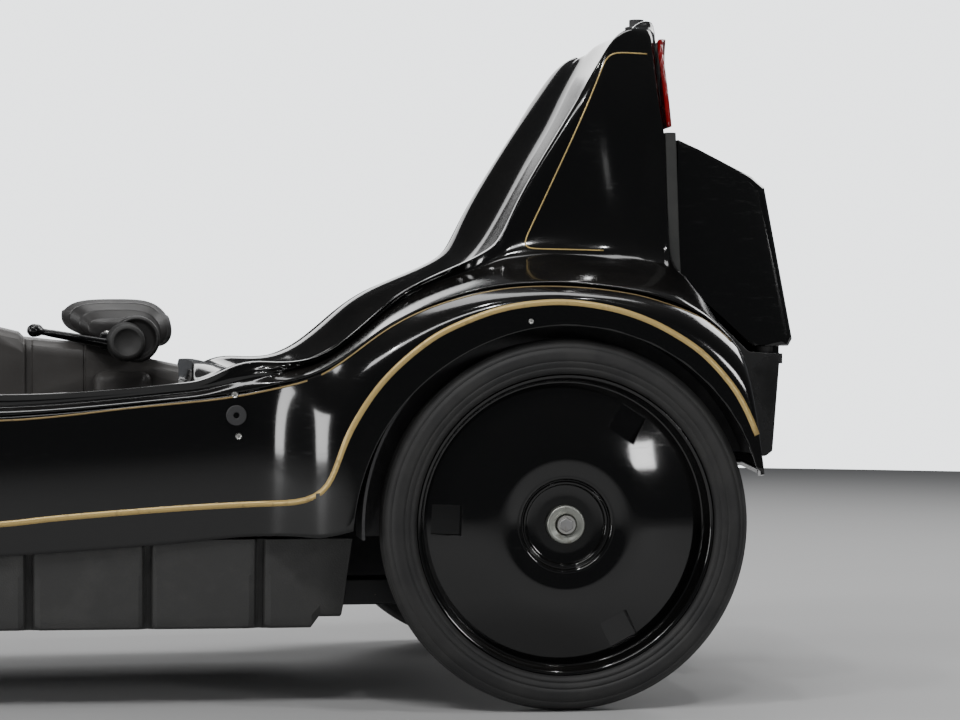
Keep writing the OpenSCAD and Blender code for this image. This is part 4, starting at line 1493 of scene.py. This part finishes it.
# --- the stage
@dataclass
class Studio:
    """Camera, floor and soft lights.

    A panel is a name, a place, the point it faces, its width and height, and its watts.
    """

    back_from_axle: float = 3.345
    ahead_of_axle: float = 0.530
    height: float = 0.417
    turn: float = 8.29
    tip: float = -0.66
    lens: float = 104.7
    floor_radius: float = 5.2
    surround_light: float = 0.09
    surround_shown: float = 2.8
    panels: tuple[tuple[str, Triple, Triple, Pair, float], ...] = (
        ("key_strip", (-0.9, -2.4, 3.4), (0.3, 0.0, 0.35), (3.0, 0.45), 55.0),
        ("wheel_panel", (2.00, -2.35, 0.88), (0.62, -0.3, 0.3), (0.34, 0.34), 9.0),
        ("flank_panel", (-2.15, -1.45, 0.50), (0.33, -0.3, 0.3), (0.50, 0.80), 16.0),
        ("nose_panel", (-3.4, 0.4, 1.9), (-0.3, 0.0, 0.4), (1.2, 1.6), 30.0),
        ("rear_panel", (2.9, 1.9, 2.2), (0.4, 0.0, 0.45), (1.4, 1.4), 40.0),
        ("back_panel", (-0.4, 3.6, 1.9), (0.2, 0.0, 0.4), (4.0, 1.2), 45.0),
        ("top_panel", (0.5, 0.9, 3.4), (0.2, 0.0, 0.3), (3.0, 1.0), 45.0))
    spots: tuple[Triple, ...] = (
        (0.4, -2.2, 2.6), (1.3, -1.4, 2.6), (-1.0, -1.6, 2.7), (0.2, -0.9, 3.0))

    def build(self) -> None:
        """Makes the floor, the lights, the world and the camera."""
        self.floor()
        for panel in self.panels:
            self.light(*panel)
        for number, place in enumerate(self.spots):
            self.light("ceiling_spot_%d" % number, place, (0.3, 0.0, 0.3), (0.10, 0.10), 7.0)
        self.world()
        self.camera()

    def floor(self) -> None:
        """A large pale round floor."""
        shape = Shape("studio_floor")
        bmesh.ops.create_circle(shape.bm, cap_ends=True, segments=256,
                                radius=self.floor_radius)
        obj = link(shape)
        obj.data.materials.append(FLOOR.make())

    def light(self, name: str, place: Sequence[float], aim: Sequence[float],
              size: Pair, power: float) -> None:
        """One rectangular area light.

        Args:
            name: its name.
            place: where it stands.
            aim: the point it faces.
            size: its width and height.
            power: its watts.
        """
        data = bpy.data.lights.new(name, "AREA")
        data.shape = "RECTANGLE"
        data.size, data.size_y = size
        data.energy = power
        obj = bpy.data.objects.new(name, data)
        obj.location = Vector(place)
        obj.rotation_euler = (Vector(aim) - Vector(place)).to_track_quat("-Z", "Y").to_euler()
        bpy.context.scene.collection.objects.link(obj)

    def world(self) -> None:
        """A white surround that lights the object more dimly than it shows."""
        world = bpy.data.worlds.new("surround")
        world.use_nodes = True
        tree = world.node_tree
        dim = tree.nodes["Background"]
        dim.inputs["Color"].default_value = (0.92, 0.95, 1.0, 1.0)
        dim.inputs["Strength"].default_value = self.surround_light
        shown = tree.nodes.new("ShaderNodeBackground")
        shown.inputs["Color"].default_value = (0.93, 0.96, 0.98, 1.0)
        shown.inputs["Strength"].default_value = self.surround_shown
        path = tree.nodes.new("ShaderNodeLightPath")
        mix = tree.nodes.new("ShaderNodeMixShader")
        tree.links.new(path.outputs["Is Camera Ray"], mix.inputs["Fac"])
        tree.links.new(dim.outputs["Background"], mix.inputs[1])
        tree.links.new(shown.outputs["Background"], mix.inputs[2])
        tree.links.new(mix.outputs["Shader"], tree.nodes["World Output"].inputs["Surface"])
        bpy.context.scene.world = world

    def camera(self) -> None:
        """The main camera."""
        data = bpy.data.cameras.new("main_camera")
        data.lens = self.lens
        data.sensor_width = 36.0
        data.clip_start = 0.05
        obj = bpy.data.objects.new("main_camera", data)
        obj.location = (axle().x - self.ahead_of_axle, -self.back_from_axle, self.height)
        turn, tip = math.radians(self.turn), math.radians(self.tip)
        aim = Vector((math.sin(turn) * math.cos(tip), math.cos(turn) * math.cos(tip),
                      math.sin(tip)))
        obj.rotation_euler = aim.to_track_quat("-Z", "Y").to_euler()
        bpy.context.scene.collection.objects.link(obj)
        bpy.context.scene.camera = obj


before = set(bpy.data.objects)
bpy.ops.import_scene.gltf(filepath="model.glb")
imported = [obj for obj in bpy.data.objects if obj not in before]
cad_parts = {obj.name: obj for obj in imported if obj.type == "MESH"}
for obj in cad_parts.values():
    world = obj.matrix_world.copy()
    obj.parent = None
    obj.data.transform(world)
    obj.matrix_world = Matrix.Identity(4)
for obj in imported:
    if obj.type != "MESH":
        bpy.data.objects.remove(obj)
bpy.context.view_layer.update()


def main() -> None:
    """Builds every sub-assembly in order."""
    BodyShells().build()
    FloorPan().build()
    Console().build()
    Boot().build()
    for side in Side:
        word = side.word
        Wheel("rear_" + word, "rear_wheel_assembly_" + word, "rear_tyre_" + word,
              "rear_wheel_" + word, side, hub_cap="hub_cap_" + word).build()
    Wheel("front", "front_wheel_assembly", "front_tyre", "front_wheel", scale=0.745,
          half_tyre=22.0, bore=6.2, inner_end=-23.5).build()
    Controls().build()
    for side in Side:
        Pedal(side).build()
    Drive().build()
    Fittings().build()
    Studio().build()


if __name__ == "__main__":
    logging.basicConfig(level=logging.INFO, format="%(name)s: %(message)s")
    main()
